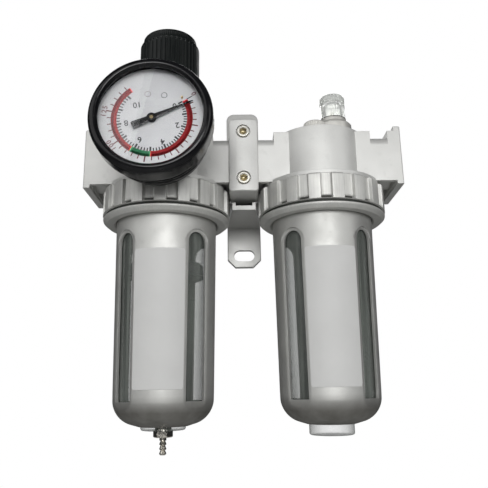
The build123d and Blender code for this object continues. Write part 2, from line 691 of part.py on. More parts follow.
with BuildPart() as screw_clip:
    with BuildSketch(level(FILTER_X, 0, 50.5)) as clip:
        Circle(6.4)
        Circle(3.45, mode=Mode.SUBTRACT)
        with Locations((0, -5)):
            Rectangle(4.4, 8, mode=Mode.SUBTRACT)
    extrude(clip.sketch, amount=0.7)
save(screw_clip, "screw_clip")

with BuildPart() as knob:
    rib_count = 40
    turned([(14.0, KNOB_BOTTOM), (KNOB_R, KNOB_BOTTOM), (KNOB_R, KNOB_STEP_Z),
            (CAP_R, KNOB_STEP_Z + 0.3), (CAP_R, KNOB_TOP - 0.9),
            (CAP_R - 0.9, KNOB_TOP), (0, KNOB_TOP), (0, 72), (14.0, 72)], FILTER_X)
    post(FILTER_X, 0, 7.2, 52.2, 73)
    with BuildSketch(level(FILTER_X, 0, 52)) as socket:
        RegularPolygon(4.55, 6)
    extrude(socket.sketch, amount=21, mode=Mode.SUBTRACT)
    with BuildSketch(level(FILTER_X, 0, KNOB_BOTTOM + 1.2)) as flutes:
        with PolarLocations(KNOB_R + 0.45, rib_count):
            Circle(0.85)
    extrude(flutes.sketch, amount=KNOB_STEP_Z - KNOB_BOTTOM - 2.0, mode=Mode.SUBTRACT)
save(knob, "knob")

# ---- rear gauge port plug -----------------------------------------------------------------------
with BuildPart() as rear_port_plug:
    bar_y(FILTER_X, GAUGE_Z, 4.86, -17.2, -24.4)
    with BuildSketch(facing(FILTER_X, GAUGE_Z, -24.5)) as key:
        RegularPolygon(2.9, 6)
    extrude(key.sketch, amount=4, mode=Mode.SUBTRACT)
save(rear_port_plug, "rear_port_plug")

# ---- pressure gauge -----------------------------------------------------------------------------
with BuildPart() as gauge_stem:
    with BuildSketch(facing(FILTER_X, GAUGE_Z, 26.0)) as flats:
        RegularPolygon(8.1, 6)
    extrude(flats.sketch, amount=CASE_BACK - 0.3 - 26.0)
    bar_y(FILTER_X, GAUGE_Z, 4.86, 26.1, 15.0)
    bar_y(FILTER_X, GAUGE_Z, 5.5, 39.0, CASE_BACK - 0.4)
    block(FILTER_X - 5, FILTER_X + 5, -43.5, -38.9, GAUGE_Z - 8, GAUGE_Z + 4)
    bar_y(FILTER_X, GAUGE_Z, 1.2, 41.0, 14.0, mode=Mode.SUBTRACT)
save(gauge_stem, "gauge_stem")

with BuildPart() as gauge_case:
    turned_to_front([(5.6, CASE_BACK), (22.5, CASE_BACK), (24.0, CASE_BACK + 1.5), (24.0, 40.5),
                     (25.6, 41.5), (25.6, 48.0), (26.3, 48.6), (26.3, 59.6), (25.2, 59.6),
                     (25.2, 50.2), (24.4, 49.6), (24.4, 42.6), (22.6, 41.4), (22.6, CASE_BACK + 1.6),
                     (5.6, CASE_BACK + 1.6)], FILTER_X, GAUGE_Z)
    for height in (43.4, 45.6):
        turned_to_front([(25.0, height), (26.5, height), (26.5, height + 0.9),
                         (25.0, height + 0.9)], FILTER_X, GAUGE_Z, mode=Mode.SUBTRACT)
save(gauge_case, "gauge_case")

with BuildPart() as gauge_bezel:
    with BuildSketch(Plane(origin=(FILTER_X, AXIS_Y, GAUGE_Z), x_dir=(1, 0, 0),
                           z_dir=(0, 0, 1))) as section:
        with BuildLine():
            rim = Polyline((BEZEL_R - 0.6, -52.0), (BEZEL_R, -53.0), (BEZEL_R, -61.4))
            nose = ThreePointArc(rim @ 1, (BEZEL_R - 0.9, -63.3), (BEZEL_R - 2.9, -GAUGE_FRONT))
            Polyline(nose @ 1, (DIAL_OPENING_R + 0.5, -63.2), (DIAL_OPENING_R, -62.6),
                     (DIAL_OPENING_R, -61.9), (26.4, -61.9), (26.4, -52.0), rim @ 0)
        make_face()
    revolve(section.sketch, axis=Axis((FILTER_X, AXIS_Y, GAUGE_Z), (0, 1, 0)))
save(gauge_bezel, "gauge_bezel")

with BuildPart() as gauge_lens:
    bar_y(FILTER_X, GAUGE_Z, 26.2, 61.8, 60.2)
save(gauge_lens, "gauge_lens")

DIAL_FACE = 57.6
with BuildPart() as gauge_dial:
    bar_y(FILTER_X, GAUGE_Z, 25.0, DIAL_FACE, DIAL_FACE - 0.6)
    bar_y(FILTER_X, GAUGE_Z, 1.4, DIAL_FACE + 1, DIAL_FACE - 2, mode=Mode.SUBTRACT)
save(gauge_dial, "gauge_dial")

# the arbor turns in two movement plates; the sector gear on the second shaft drives its pinion
PINION_R = MODULE * PINION_TEETH / 2
SECTOR_R = MODULE * SECTOR_TEETH / 2
CENTRES = PINION_R + SECTOR_R + 0.06
PLATE_FRONT = 55.4
PLATE_BACK = 46.2
GEAR_BACK = 50.4
GEAR_T = 1.6
SECTOR_X = FILTER_X - CENTRES


def gear_outline(teeth, first, last, inner_r, x, z, phase):
    """Outline points, in X and Z, of straight-sided stub teeth from first to last, with backlash."""
    pitch_r = MODULE * teeth / 2
    pitch_angle = 2 * math.pi / teeth
    root_r = pitch_r - 1.15 * MODULE
    tip_r = pitch_r + 0.85 * MODULE
    outline = []
    for index in range(first, last + 1):
        middle = phase + index * pitch_angle
        for r, share in ((root_r, -0.34), (tip_r, -0.1), (tip_r, 0.1), (root_r, 0.34)):
            angle = middle + share * pitch_angle
            outline.append((x + r * math.cos(angle), z + r * math.sin(angle)))
    if inner_r:
        for angle in (phase + (last + 0.5) * pitch_angle, phase + (first - 0.5) * pitch_angle):
            outline.append((x + inner_r * math.cos(angle), z + inner_r * math.sin(angle)))
    return outline


def gear_plate(outline):
    """Plate cut to an outline, at the depth of the gears."""
    with BuildSketch(Plane(origin=(0, AXIS_Y - GEAR_BACK, 0), x_dir=(1, 0, 0),
                           z_dir=(0, -1, 0))) as cut:
        with BuildLine():
            Polyline(*outline, close=True)
        make_face()
    extrude(cut.sketch, amount=GEAR_T)


with BuildPart() as pointer_arbor:
    bar_y(FILTER_X, GAUGE_Z, SHAFT_R, 59.2, PLATE_BACK - 1.2)
    gear_plate(gear_outline(PINION_TEETH, 0, PINION_TEETH - 1, 0, FILTER_X, GAUGE_Z,
                            math.pi + math.pi / PINION_TEETH))
save(pointer_arbor, "pointer_arbor")

# the sector's teeth reach as far as its turn of 45 degrees brings past the pinion
with BuildPart() as sector_gear:
    bar_y(SECTOR_X, GAUGE_Z, SHAFT_R, PLATE_FRONT + 0.6, PLATE_BACK - 1.2)
    gear_plate(gear_outline(SECTOR_TEETH, -10, 2, 9.0, SECTOR_X, GAUGE_Z, 0))
    with BuildSketch(facing(SECTOR_X, GAUGE_Z, GEAR_BACK)) as arm:
        Circle(2.2)
        with BuildLine():
            Polyline((-1.5, -1.8), (6.0, -7.8), (9.7, 1.4), (0, 1.8), close=True)
        make_face()
    extrude(arm.sketch, amount=GEAR_T)
    tail = facing(SECTOR_X, GAUGE_Z, GEAR_BACK)
    with BuildSketch(tail) as lever:
        with BuildLine():
            Polyline((-1.6, 0.8), (1.6, 0.8), (1.2, -6.5), (-1.2, -6.5), close=True)
        make_face()
    extrude(lever.sketch, amount=GEAR_T)
save(sector_gear, "sector_gear")


def movement_plate(back, thickness):
    """Brass plate with a running hole for each of the two shafts."""
    with BuildPart() as plate:
        with BuildSketch(facing(FILTER_X - CENTRES / 2, GAUGE_Z, back)) as cut:
            SlotOverall(CENTRES + 9, 9)
            for x in (-CENTRES / 2, CENTRES / 2):
                with Locations((x, 0)):
                    Circle(SHAFT_R + 0.04, mode=Mode.SUBTRACT)
        extrude(cut.sketch, amount=thickness)
    return plate


save(movement_plate(PLATE_FRONT - 1.0, 1.0), "movement_front_plate")
save(movement_plate(PLATE_BACK, 1.0), "movement_back_plate")

with BuildPart() as movement_posts:
    for x in (FILTER_X + 3.2, SECTOR_X - 3.2):
        bar_y(x, GAUGE_Z, 0.7, PLATE_FRONT - 1.02, PLATE_BACK + 1.02)
save(movement_posts, "movement_posts")

with BuildPart() as bourdon_tube:
    tube_r = 19.5
    bend_plane = Plane(origin=(FILTER_X, AXIS_Y - 44.6, GAUGE_Z), x_dir=(1, 0, 0), z_dir=(0, -1, 0))
    with BuildLine(bend_plane) as bend:
        CenterArc((0, 0), tube_r, -110, 235)
    with BuildSketch(Plane(origin=bend.line @ 0, z_dir=bend.line % 0,
                           x_dir=(0, 1, 0))) as tube_section:
        Ellipse(2.6, 1.2)
    sweep(tube_section.sketch, path=bend.line)
save(bourdon_tube, "bourdon_tube")

with BuildPart() as gauge_pointer:
    # rests on the stop pin, just past the start of the scale at the upper right
    needle_angle = 24.0
    blade_plane = Plane(
        origin=(FILTER_X, AXIS_Y - DIAL_FACE - 0.9, GAUGE_Z),
        x_dir=(math.cos(math.radians(needle_angle)), 0, math.sin(math.radians(needle_angle))),
        z_dir=(0, -1, 0),
    )
    with BuildSketch(blade_plane) as blade:
        with BuildLine():
            Polyline((-10.5, -1.5), (-9.0, -1.9), (0, -1.25), (20.0, -0.3), (20.6, 0), (20.0, 0.3),
                     (0, 1.25), (-9.0, 1.9), (-10.5, 1.5), close=True)
        make_face()
        Circle(2.4)
    extrude(blade.sketch, amount=0.45)
    bar_y(FILTER_X, GAUGE_Z, 1.9, DIAL_FACE + 1.8, DIAL_FACE + 0.5)
    bar_y(FILTER_X, GAUGE_Z, SHAFT_R, 59.3, DIAL_FACE, mode=Mode.SUBTRACT)
save(gauge_pointer, "gauge_pointer")

# ---- lubricator fittings ------------------------------------------------------------------------
GLASS_R = 7.2
GLASS_BOTTOM = 29.6
GLASS_TOP = 43.8

with BuildPart() as dome_base:
    turned([(0, 9.8), (DOME_THREAD_R - 0.05, 9.8), (DOME_THREAD_R - 0.05, BOSS_TOP + 0.05),
            (10.2, BOSS_TOP + 0.05), (10.2, 25.0), (9.6, 25.8), (7.8, 26.8), (7.5, 27.4),
            (7.5, GLASS_BOTTOM - 0.4), (5.6, GLASS_BOTTOM - 0.4), (5.6, 24.0), (0, 24.0)],
           DOME_X, DOME_Y)
    post(DOME_X, DOME_Y, 1.55, 9, 25, mode=Mode.SUBTRACT)
    post(DOME_X, DOME_Y + 4.4, 0.7, 9, 25, mode=Mode.SUBTRACT)
save(dome_base, "dome_base")

with BuildPart() as sight_dome:
    turned([(4.6, GLASS_BOTTOM), (GLASS_R - 0.1, GLASS_BOTTOM), (GLASS_R, GLASS_BOTTOM + 0.4),
            (GLASS_R, GLASS_TOP - 1.6), (GLASS_R - 0.5, GLASS_TOP - 0.6), (GLASS_R - 1.6, GLASS_TOP),
            (0, GLASS_TOP), (0, 40.6), (2.8, 40.0), (4.2, 38.4), (4.6, 36.4)], DOME_X, DOME_Y)
    turned([(4.6, 24.6), (5.5, 24.6), (5.5, GLASS_BOTTOM + 0.1), (4.6, GLASS_BOTTOM + 0.1)],
           DOME_X, DOME_Y)
    with BuildSketch(level(DOME_X, DOME_Y, GLASS_BOTTOM)) as flats:
        Circle(GLASS_R + 1)
        RegularPolygon(GLASS_R * 1.085, 6, mode=Mode.SUBTRACT)
    extrude(flats.sketch, amount=9.6, mode=Mode.SUBTRACT)
save(sight_dome, "sight_dome")

with BuildPart() as dome_seal:
    with BuildSketch(level(DOME_X, DOME_Y, GLASS_BOTTOM - 0.38)) as washer:
        Circle(7.4)
        Circle(5.7, mode=Mode.SUBTRACT)
    extrude(washer.sketch, amount=0.36)
save(dome_seal, "dome_seal")

with BuildPart() as drip_nozzle:
    turned([(0, 24.05), (2.8, 24.05), (2.8, 25.4), (1.0, 26.4), (0.8, 34.5), (0, 34.5)],
           DOME_X, DOME_Y)
    post(DOME_X, DOME_Y, 1.5, 14, 24.1)
    post(DOME_X, DOME_Y, 0.5, 13, 35, mode=Mode.SUBTRACT)
save(drip_nozzle, "drip_nozzle")

PLUG_HEAD_LOW = 16.6
PLUG_HEAD_TOP = 21.4
PLUG_HEAD_R = 6.0
with BuildPart() as fill_plug:
    turned([(0, 8), (PLUG_THREAD_R - 1, 8), (PLUG_THREAD_R - RUN, 9), (PLUG_THREAD_R - RUN, 14.3),
            (3.4, 14.5), (3.4, 16.0), (PLUG_HEAD_R, PLUG_HEAD_LOW), (PLUG_HEAD_R, PLUG_HEAD_TOP - 0.5),
            (PLUG_HEAD_R - 0.5, PLUG_HEAD_TOP), (0, PLUG_HEAD_TOP)], PLUG_X, PLUG_Y)
    knurl_count = 30
    with BuildSketch(level(PLUG_X, PLUG_Y, PLUG_HEAD_LOW + 0.5)) as knurl:
        with PolarLocations(PLUG_HEAD_R + 0.12, knurl_count):
            Rectangle(0.62, 0.62, rotation=45)
    extrude(knurl.sketch, amount=5, mode=Mode.SUBTRACT)
    with BuildSketch(level(PLUG_X, PLUG_Y, PLUG_HEAD_TOP - 1.2)) as driver_slot:
        Rectangle(8.5, 1.3)
    extrude(driver_slot.sketch, amount=3, mode=Mode.SUBTRACT)
save(fill_plug, "fill_plug")

with BuildPart() as fill_plug_seal:
    add(ring_torus(PLUG_X, PLUG_Y, 15.25, 4.25, 0.72))
save(fill_plug_seal, "fill_plug_seal")

with BuildPart() as siphon_tube:
    turned([(1.2, -124), (2.0, -124), (2.0, -9.7), (1.2, -9.7)], LUBE_X)
save(siphon_tube, "siphon_tube")

with BuildPart() as siphon_strainer:
    turned([(0, -128.6), (4.0, -128.6), (4.0, -119.5), (2.05, -119.5), (2.05, -125), (0, -125)],
           LUBE_X)
save(siphon_strainer, "siphon_strainer")

with BuildPart() as flow_flap:
    with BuildSketch(sideways(LUBE_X - 6)) as flap:
        Circle(BORE_R - 0.05)
        with Locations((0, 4.0)):
            Circle(2.2, mode=Mode.SUBTRACT)
        with Locations((0, -5.5)):
            Rectangle(16, 4, mode=Mode.SUBTRACT)
    extrude(flap.sketch, amount=0.9)
save(flow_flap, "flow_flap")

# ---- front clamp, screws and wall bracket -------------------------------------------------------
SPLIT = 0.3


def jaw_opening(front, back):
    """Space inside the jaws: tall at the port lips, lower beside them so that the jaws hook on."""
    lip_half = UNIT_X - LIP_FROM + GAP
    block(-lip_half, lip_half, -front, -back, -LIP_Z - GAP, LIP_Z + GAP, mode=Mode.SUBTRACT)
    block(-CLAMP_HALF_X - 1, CLAMP_HALF_X + 1, -front, -back, BLOCK_BOTTOM - GAP,
          BLOCK_TOP + GAP, mode=Mode.SUBTRACT)


with BuildPart() as front_clamp:
    bulge = 1.2
    with BuildSketch(level(0, 0, -CLAMP_HALF_Z)) as plan:
        with BuildLine():
            flank = Polyline(
                (CLAMP_HALF_X, -CLAMP_FRONT + bulge),
                (CLAMP_HALF_X, -SPLIT),
                (-CLAMP_HALF_X, -SPLIT),
                (-CLAMP_HALF_X, -CLAMP_FRONT + bulge),
            )
            ThreePointArc(flank @ 1, (0, -CLAMP_FRONT), flank @ 0)
        make_face()
    extrude(plan.sketch, amount=2 * CLAMP_HALF_Z)
    fillet(front_clamp.edges().filter_by(Axis.Y), 2.0)
    front_edges = [e for e in front_clamp.edges() if e.center().Y < AXIS_Y - CLAMP_FRONT + bulge + 0.3]
    fillet(front_edges, 0.7)
    jaw_opening(FACE_Y + GAP, 0)
    for z in (-SCREW_Z, SCREW_Z):
        bar_y(0, z, 2.15, CLAMP_FRONT + 1, 0, mode=Mode.SUBTRACT)
        bar_y(0, z, 3.75, CLAMP_FRONT + 1, CLAMP_FRONT - 2.2, mode=Mode.SUBTRACT)
save(front_clamp, "front_clamp")

with BuildPart() as clamp_screws:
    for z in (-SCREW_Z, SCREW_Z):
        head_back = CLAMP_FRONT - 2.15
        bar_y(0, z, 3.5, head_back + 2.6, head_back)
        bar_y(0, z, 2.0, head_back + 0.1, -14.5)
        with BuildSketch(facing(0, z, head_back + 0.9)) as key:
            RegularPolygon(1.75, 6)
        extrude(key.sketch, amount=3, mode=Mode.SUBTRACT)
    rims = [e for e in clamp_screws.edges().filter_by(GeomType.CIRCLE)
            if e.center().Y < AXIS_Y - CLAMP_FRONT - 0.4 and e.radius > 3]
    chamfer(rims, 0.35)
save(clamp_screws, "clamp_screws")

ARM_LOW = 25.8
ARM_T = 2.4
ARM_LIP = 21.7
ARM_FRONT = 6.6
ARM_HALF_FRONT = 6.2
ARM_SIDE_T = 1.9
PLATE_CORNER = 4.5
with BuildPart() as wall_bracket:
    plate_front = -AXIS_Y - PLATE_T          # distances behind the port axis
    wall = -AXIS_Y
    with BuildSketch(facing(0, 0, -wall)) as plate_outline:
        Rectangle(2 * PLATE_HALF_X, 2 * PLATE_HALF_Z)
        chamfer(plate_outline.vertices().group_by(Axis.Y)[0], PLATE_CORNER)
        fillet(plate_outline.vertices().group_by(Axis.Y)[-1], PLATE_CORNER)
    extrude(plate_outline.sketch, amount=PLATE_T)
    fillet(wall_bracket.faces().sort_by(Axis.Y)[0].edges(), 0.5)
    # post and rear jaw
    block(-6, 6, 19, plate_front + 0.5, -15.5, 15.5)
    block(-CLAMP_HALF_X, CLAMP_HALF_X, SPLIT, CLAMP_FRONT, -CLAMP_HALF_Z, CLAMP_HALF_Z)
    jaw_opening(0, -FACE_Y - GAP)
    for z in (-SCREW_Z, SCREW_Z):
        bar_y(0, z, 2.05, 1, -16, mode=Mode.SUBTRACT)
    # tapered channel arms above and below the jaws
    for side in (-1, 1):
        outer, inner = side * ARM_LOW, side * (ARM_LOW - ARM_T)
        lip = side * ARM_LIP
        low, high = sorted((outer, lip))
        with BuildSketch(level(0, 0, low)) as taper:
            with BuildLine():
                Polyline((-ARM_HALF_FRONT, -ARM_FRONT), (ARM_HALF_FRONT, -ARM_FRONT),
                         (PLATE_HALF_X, plate_front + 0.5), (-PLATE_HALF_X, plate_front + 0.5),
                         close=True)
            make_face()
        extrude(taper.sketch, amount=high - low)
        low, high = sorted((inner, lip + side * -1))
        with BuildSketch(level(0, 0, low)) as channel:
            with BuildLine():
                Polyline((-ARM_HALF_FRONT + ARM_SIDE_T, -ARM_FRONT - 1),
                         (ARM_HALF_FRONT - ARM_SIDE_T, -ARM_FRONT - 1),
                         (PLATE_HALF_X - ARM_SIDE_T, plate_front - 0.01),
                         (-PLATE_HALF_X + ARM_SIDE_T, plate_front - 0.01), close=True)
            make_face()
        extrude(channel.sketch, amount=high - low, mode=Mode.SUBTRACT)
    with BuildSketch(facing(0, 0, -wall - 1)) as slots:
        for z in (-SLOT_Z, SLOT_Z):
            with Locations((0, z)):
                SlotOverall(SLOT_LENGTH, SLOT_WIDTH)
    extrude(slots.sketch, amount=PLATE_T + 2, mode=Mode.SUBTRACT)
save(wall_bracket, "wall_bracket")
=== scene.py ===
"""Looks of a filter regulator with its gauge, clamped to a lubricator on a wall bracket.

Shapes are given in millimetres in the CAD frame: +Z up, -Y to the front, the origin on the wall.
"""

import json
import math

import bmesh
import bpy
from mathutils import Matrix, Vector


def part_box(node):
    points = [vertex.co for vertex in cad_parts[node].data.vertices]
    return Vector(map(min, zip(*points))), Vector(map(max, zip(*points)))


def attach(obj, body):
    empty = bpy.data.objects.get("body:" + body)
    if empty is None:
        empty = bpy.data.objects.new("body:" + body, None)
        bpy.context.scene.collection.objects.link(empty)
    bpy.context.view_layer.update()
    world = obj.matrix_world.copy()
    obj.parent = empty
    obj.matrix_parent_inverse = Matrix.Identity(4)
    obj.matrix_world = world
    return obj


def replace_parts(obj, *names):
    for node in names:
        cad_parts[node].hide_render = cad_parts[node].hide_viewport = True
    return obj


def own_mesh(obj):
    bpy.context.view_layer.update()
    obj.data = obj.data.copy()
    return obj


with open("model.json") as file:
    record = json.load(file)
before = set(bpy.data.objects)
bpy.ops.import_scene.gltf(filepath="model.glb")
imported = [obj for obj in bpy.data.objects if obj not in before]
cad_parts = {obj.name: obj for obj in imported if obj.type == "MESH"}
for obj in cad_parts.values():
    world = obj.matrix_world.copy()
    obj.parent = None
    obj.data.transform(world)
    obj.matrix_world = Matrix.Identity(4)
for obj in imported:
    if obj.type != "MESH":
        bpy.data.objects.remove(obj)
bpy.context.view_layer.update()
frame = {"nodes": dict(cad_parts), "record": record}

MM = 0.001
TAU = 2 * math.pi


def extent(node):
    """Lowest and highest corner of a CAD node, in millimetres."""
    low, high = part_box(node)
    return low / MM, high / MM


def middle(node):
    low, high = extent(node)
    return (low + high) / 2


# ---- places read from the frame ----
RING_LOW, RING_HIGH = extent("filter_clamp_ring")
RING_R = (RING_HIGH.x - RING_LOW.x) / 2
FILTER_X = middle("filter_clamp_ring").x
LUBE_X = middle("lubricator_clamp_ring").x
AXIS_Y = middle("filter_clamp_ring").y
GAUGE_Z = middle("gauge_bezel").z
DIAL_FACE = extent("gauge_dial")[0].y
DOME = middle("dome_base")
PLUG = middle("fill_plug")


# ---- shader helpers ----
def scaled(colour, factor, lift=0.0):
    return tuple(min(1.0, factor * channel + lift) for channel in colour)


class Shader:
    """A node material being put together. Sizes given to its textures are in millimetres."""

    def __init__(self, name, **inputs):
        self.material = bpy.data.materials.new(name)
        self.material.use_nodes = True
        self.tree = self.material.node_tree
        self.surface = self.tree.nodes["Principled BSDF"]
        self.output = self.tree.nodes["Material Output"]
        for socket, value in inputs.items():
            self.surface.inputs[socket.replace("_", " ")].default_value = value
        self.place = self.node("ShaderNodeTexCoord").outputs["Object"]

    def node(self, kind, inputs=None, **settings):
        made = self.tree.nodes.new(kind)
        for key, value in settings.items():
            setattr(made, key, value)
        for key, value in (inputs or {}).items():
            if isinstance(value, bpy.types.NodeSocket):
                self.tree.links.new(value, made.inputs[key])
            else:
                made.inputs[key].default_value = value
        return made

    def feed(self, socket, value):
        self.tree.links.new(value, self.surface.inputs[socket])

    def made_of(self, colour, roughness, normal):
        """The material, with these three fed to its surface."""
        self.feed("Base Color", colour)
        self.feed("Roughness", roughness)
        self.feed("Normal", normal)
        return self.material

    def noise(self, size, detail=2.0, stretch=(1, 1, 1), shift=0.0):
        """Noise whose features are about size millimetres, longer along an axis by its stretch."""
        scale = tuple(1 / (size * MM * factor) for factor in stretch)
        spread = self.node(
            "ShaderNodeMapping", {"Vector": self.place, "Scale": scale, "Location": (shift,) * 3}
        )
        return self.node(
            "ShaderNodeTexNoise",
            {"Vector": spread.outputs[0], "Scale": 1.0, "Detail": detail, "Roughness": 0.5},
        ).outputs["Fac"]

    def levels(self, value, low, high, to_low=0.0, to_high=1.0):
        """Maps low..high to to_low..to_high, held at the ends."""
        return self.node(
            "ShaderNodeMapRange",
            {"Value": value, "From Min": low, "From Max": high, "To Min": to_low, "To Max": to_high},
        ).outputs["Result"]

    def times(self, a, b):
        return self.node("ShaderNodeMath", {0: a, 1: b}, operation="MULTIPLY").outputs[0]

    def blend(self, factor, first, second):
        """Colour that goes from first to second."""
        mixer = self.node("ShaderNodeMix", {0: factor}, data_type="RGBA")
        for index, colour in ((6, first), (7, second)):
            if isinstance(colour, bpy.types.NodeSocket):
                self.tree.links.new(colour, mixer.inputs[index])
            else:
                mixer.inputs[index].default_value = (*colour, 1)
        return mixer.outputs[2]

    def mottle(self, value, low, high, first, second, most=1.0):
        """Colour that goes from first towards second, by most of the way, as value goes from low to high."""
        return self.blend(self.levels(value, low, high, 0.0, most), first, second)

    def edges(self, radius, most=1.0):
        """Up to most on edges that stand out or in within radius, 0 on flat faces."""
        bevelled = self.node("ShaderNodeBevel", {"Radius": radius * MM}, samples=4)
        normal = self.node("ShaderNodeNewGeometry").outputs["Normal"]
        alike = self.node(
            "ShaderNodeVectorMath", {0: bevelled.outputs[0], 1: normal}, operation="DOT_PRODUCT"
        )
        return self.levels(alike.outputs["Value"], 0.995, 0.86, 0.0, most)

    def soft_edges(self, radius):
        return self.node("ShaderNodeBevel", {"Radius": radius * MM}, samples=4).outputs[0]

    def relief(self, height, depth, strength, under=None):
        """Bump of depth millimetres, on top of another one if under is given."""
        inputs = {"Height": height, "Distance": depth * MM, "Strength": strength}
        if under is not None:
            inputs["Normal"] = under
        return self.node("ShaderNodeBump", inputs).outputs["Normal"]

    def let_light_through(self):
        """Lamps shine through the clear surface instead of being stopped by it."""
        rays = self.node("ShaderNodeLightPath")
        clear = self.node("ShaderNodeBsdfTransparent", {"Color": (0.92, 0.93, 0.92, 1)})
        both = self.node("ShaderNodeMixShader", {0: rays.outputs["Is Shadow Ray"]})
        self.tree.links.new(self.surface.outputs[0], both.inputs[1])
        self.tree.links.new(clear.outputs[0], both.inputs[2])
        self.tree.links.new(both.outputs[0], self.output.inputs["Surface"])


# ---- materials ----
def silver_paint(name, colour, roughness, metallic, flake, edge, softened=0.0, painted_foot_shade=None):
    """Satin silver lacquer on metal: fine flake, faint orange peel, dust, and bright worn edges.

    The optional pair of heights darkens the paint towards the bottom: unchanged above the first, darkest
    below the second. This is painted shade on the downward-facing foot.
    """
    shader = Shader(name, Metallic=metallic)
    grain = shader.noise(flake, shift=3.0)
    base = shader.mottle(shader.noise(22, 3), 0.35, 0.65, scaled(colour, 0.86), colour)
    base = shader.mottle(grain, 0.42, 0.72, base, scaled(colour, 1.1), 0.55)
    base = shader.mottle(shader.noise(5, 4, shift=9.0), 0.62, 0.8, base, scaled(colour, 0.62), 0.35)
    base = shader.blend(shader.edges(edge, 0.5), base, (0.93, 0.93, 0.91))
    if painted_foot_shade:
        # Painted shade: darker towards the bottom of the foot, broken up in patches.
        height = shader.node("ShaderNodeSeparateXYZ", {0: shader.place}).outputs["Z"]
        depth = shader.levels(height, painted_foot_shade[0] * MM, painted_foot_shade[1] * MM)
        foot_shade_breakup = shader.levels(shader.noise(7, 3, shift=12.0), 0.3, 0.7, 0.8, 1.0)
        base = shader.blend(shader.times(depth, foot_shade_breakup), base, (0.17, 0.165, 0.15))
    matt = shader.levels(shader.noise(9, 3, shift=5.0), 0.3, 0.7, roughness - 0.05, roughness + 0.07)
    under = shader.soft_edges(softened) if softened else None
    peel = shader.relief(shader.noise(1.1), 0.02, 0.35, under)
    return shader.made_of(base, matt, shader.relief(grain, 0.012, 0.5, peel))


def ring_lacquer():
    """Silver lacquer over a turned casting, with faint upright drag lines on its pads."""
    shader = Shader("ring_lacquer", Metallic=0.4)
    lines = shader.noise(0.55, stretch=(1, 1, 30))
    base = shader.mottle(shader.noise(9, 3), 0.35, 0.7, (0.56, 0.56, 0.54), (0.66, 0.66, 0.63))
    base = shader.mottle(lines, 0.4, 0.75, base, (0.42, 0.42, 0.4), 0.45)
    base = shader.blend(shader.edges(0.35, 0.6), base, (0.9, 0.9, 0.88))
    drag = shader.relief(lines, 0.02, 0.5)
    fine = shader.relief(shader.noise(0.2, shift=4.0), 0.01, 0.4, drag)
    return shader.made_of(base, shader.levels(lines, 0.3, 0.7, 0.4, 0.52), fine)


def label_film():
    """Plain grey film with a barely uneven print and a satin face."""
    shader = Shader("label_film", Specular_IOR_Level=0.35)
    tooth = shader.noise(0.16, shift=2.0)
    base = shader.mottle(shader.noise(14, 3), 0.3, 0.7, (0.575, 0.575, 0.565), (0.605, 0.605, 0.595))
    base = shader.mottle(tooth, 0.55, 0.8, base, (0.5, 0.5, 0.495), 0.25)
    matt = shader.levels(tooth, 0.3, 0.7, 0.46, 0.56)
    return shader.made_of(base, matt, shader.relief(tooth, 0.006, 0.4))


def black_plastic():
    """Black moulded plastic with a fine spark-eroded grain and scuffed ribs."""
    shader = Shader("black_plastic", Specular_IOR_Level=0.25)
    grain = shader.noise(0.28, 3)
    base = shader.mottle(grain, 0.4, 0.7, (0.004, 0.006, 0.006), (0.009, 0.011, 0.01))
    scuff = shader.times(shader.edges(0.3), shader.levels(shader.noise(3, 3), 0.4, 0.7, 0.1, 0.7))
    base = shader.blend(scuff, base, (0.03, 0.034, 0.033))
    matt = shader.levels(shader.noise(6, 3, shift=7.0), 0.3, 0.7, 0.3, 0.42)
    return shader.made_of(base, matt, shader.relief(grain, 0.03, 0.5))


def black_enamel():
    """Glossy black enamel with a slight orange peel and hairline handling marks."""
    shader = Shader("black_enamel", Specular_IOR_Level=0.28)
    marks = shader.noise(0.35, stretch=(14, 14, 1), shift=6.0)
    base = shader.mottle(shader.noise(8, 3), 0.3, 0.7, (0.004, 0.004, 0.005), (0.009, 0.009, 0.01))
    base = shader.mottle(marks, 0.66, 0.72, base, (0.1, 0.1, 0.1), 0.12)
    matt = shader.levels(shader.noise(4, 3, shift=2.0), 0.3, 0.7, 0.13, 0.24)
    return shader.made_of(base, matt, shader.relief(shader.noise(1.6), 0.025, 0.25))


def dial_lacquer():
    """Silvery white lacquer of the dial, faintly brushed across."""
    shader = Shader("dial_lacquer", Metallic=0.12, Specular_IOR_Level=0.4)
    brush = shader.noise(0.12, stretch=(18, 1, 1))
    cloud = shader.noise(12, shift=1.0)
    base = shader.mottle(cloud, 0.3, 0.7, (0.36, 0.36, 0.373), (0.4, 0.4, 0.414))
    base = shader.mottle(brush, 0.4, 0.7, base, (0.33, 0.33, 0.342), 0.3)
    matt = shader.levels(brush, 0.3, 0.7, 0.4, 0.5)
    return shader.made_of(base, matt, shader.relief(brush, 0.005, 0.3))


def print_ink(name, colour):
    """Screen-printed ink: matt, a little uneven."""
    shader = Shader(name, Specular_IOR_Level=0.3)
    grain = shader.noise(0.5, 3)
    base = shader.mottle(grain, 0.4, 0.75, colour, scaled(colour, 1.35, 0.02))
    matt = shader.levels(grain, 0.3, 0.7, 0.45, 0.6)
    return shader.made_of(base, matt, shader.relief(grain, 0.004, 0.3))


def plated(name, colour, roughness, tint):
    """Plated or bare turned metal: fine turning marks, tarnish in patches, bright edges."""
    shader = Shader(name, Metallic=1.0)
    patches = shader.levels(shader.noise(2.6, 4, shift=2.0), 0.42, 0.72, 0.0, 0.75)
    base = shader.blend(patches, colour, tint)
    base = shader.blend(shader.edges(0.15, 0.5), base, scaled(colour, 1.25))
    matt = shader.levels(patches, 0.0, 0.75, roughness, roughness + 0.16)
    turning = shader.noise(0.14, stretch=(20, 20, 1))
    return shader.made_of(base, matt, shader.relief(turning, 0.012, 0.35))


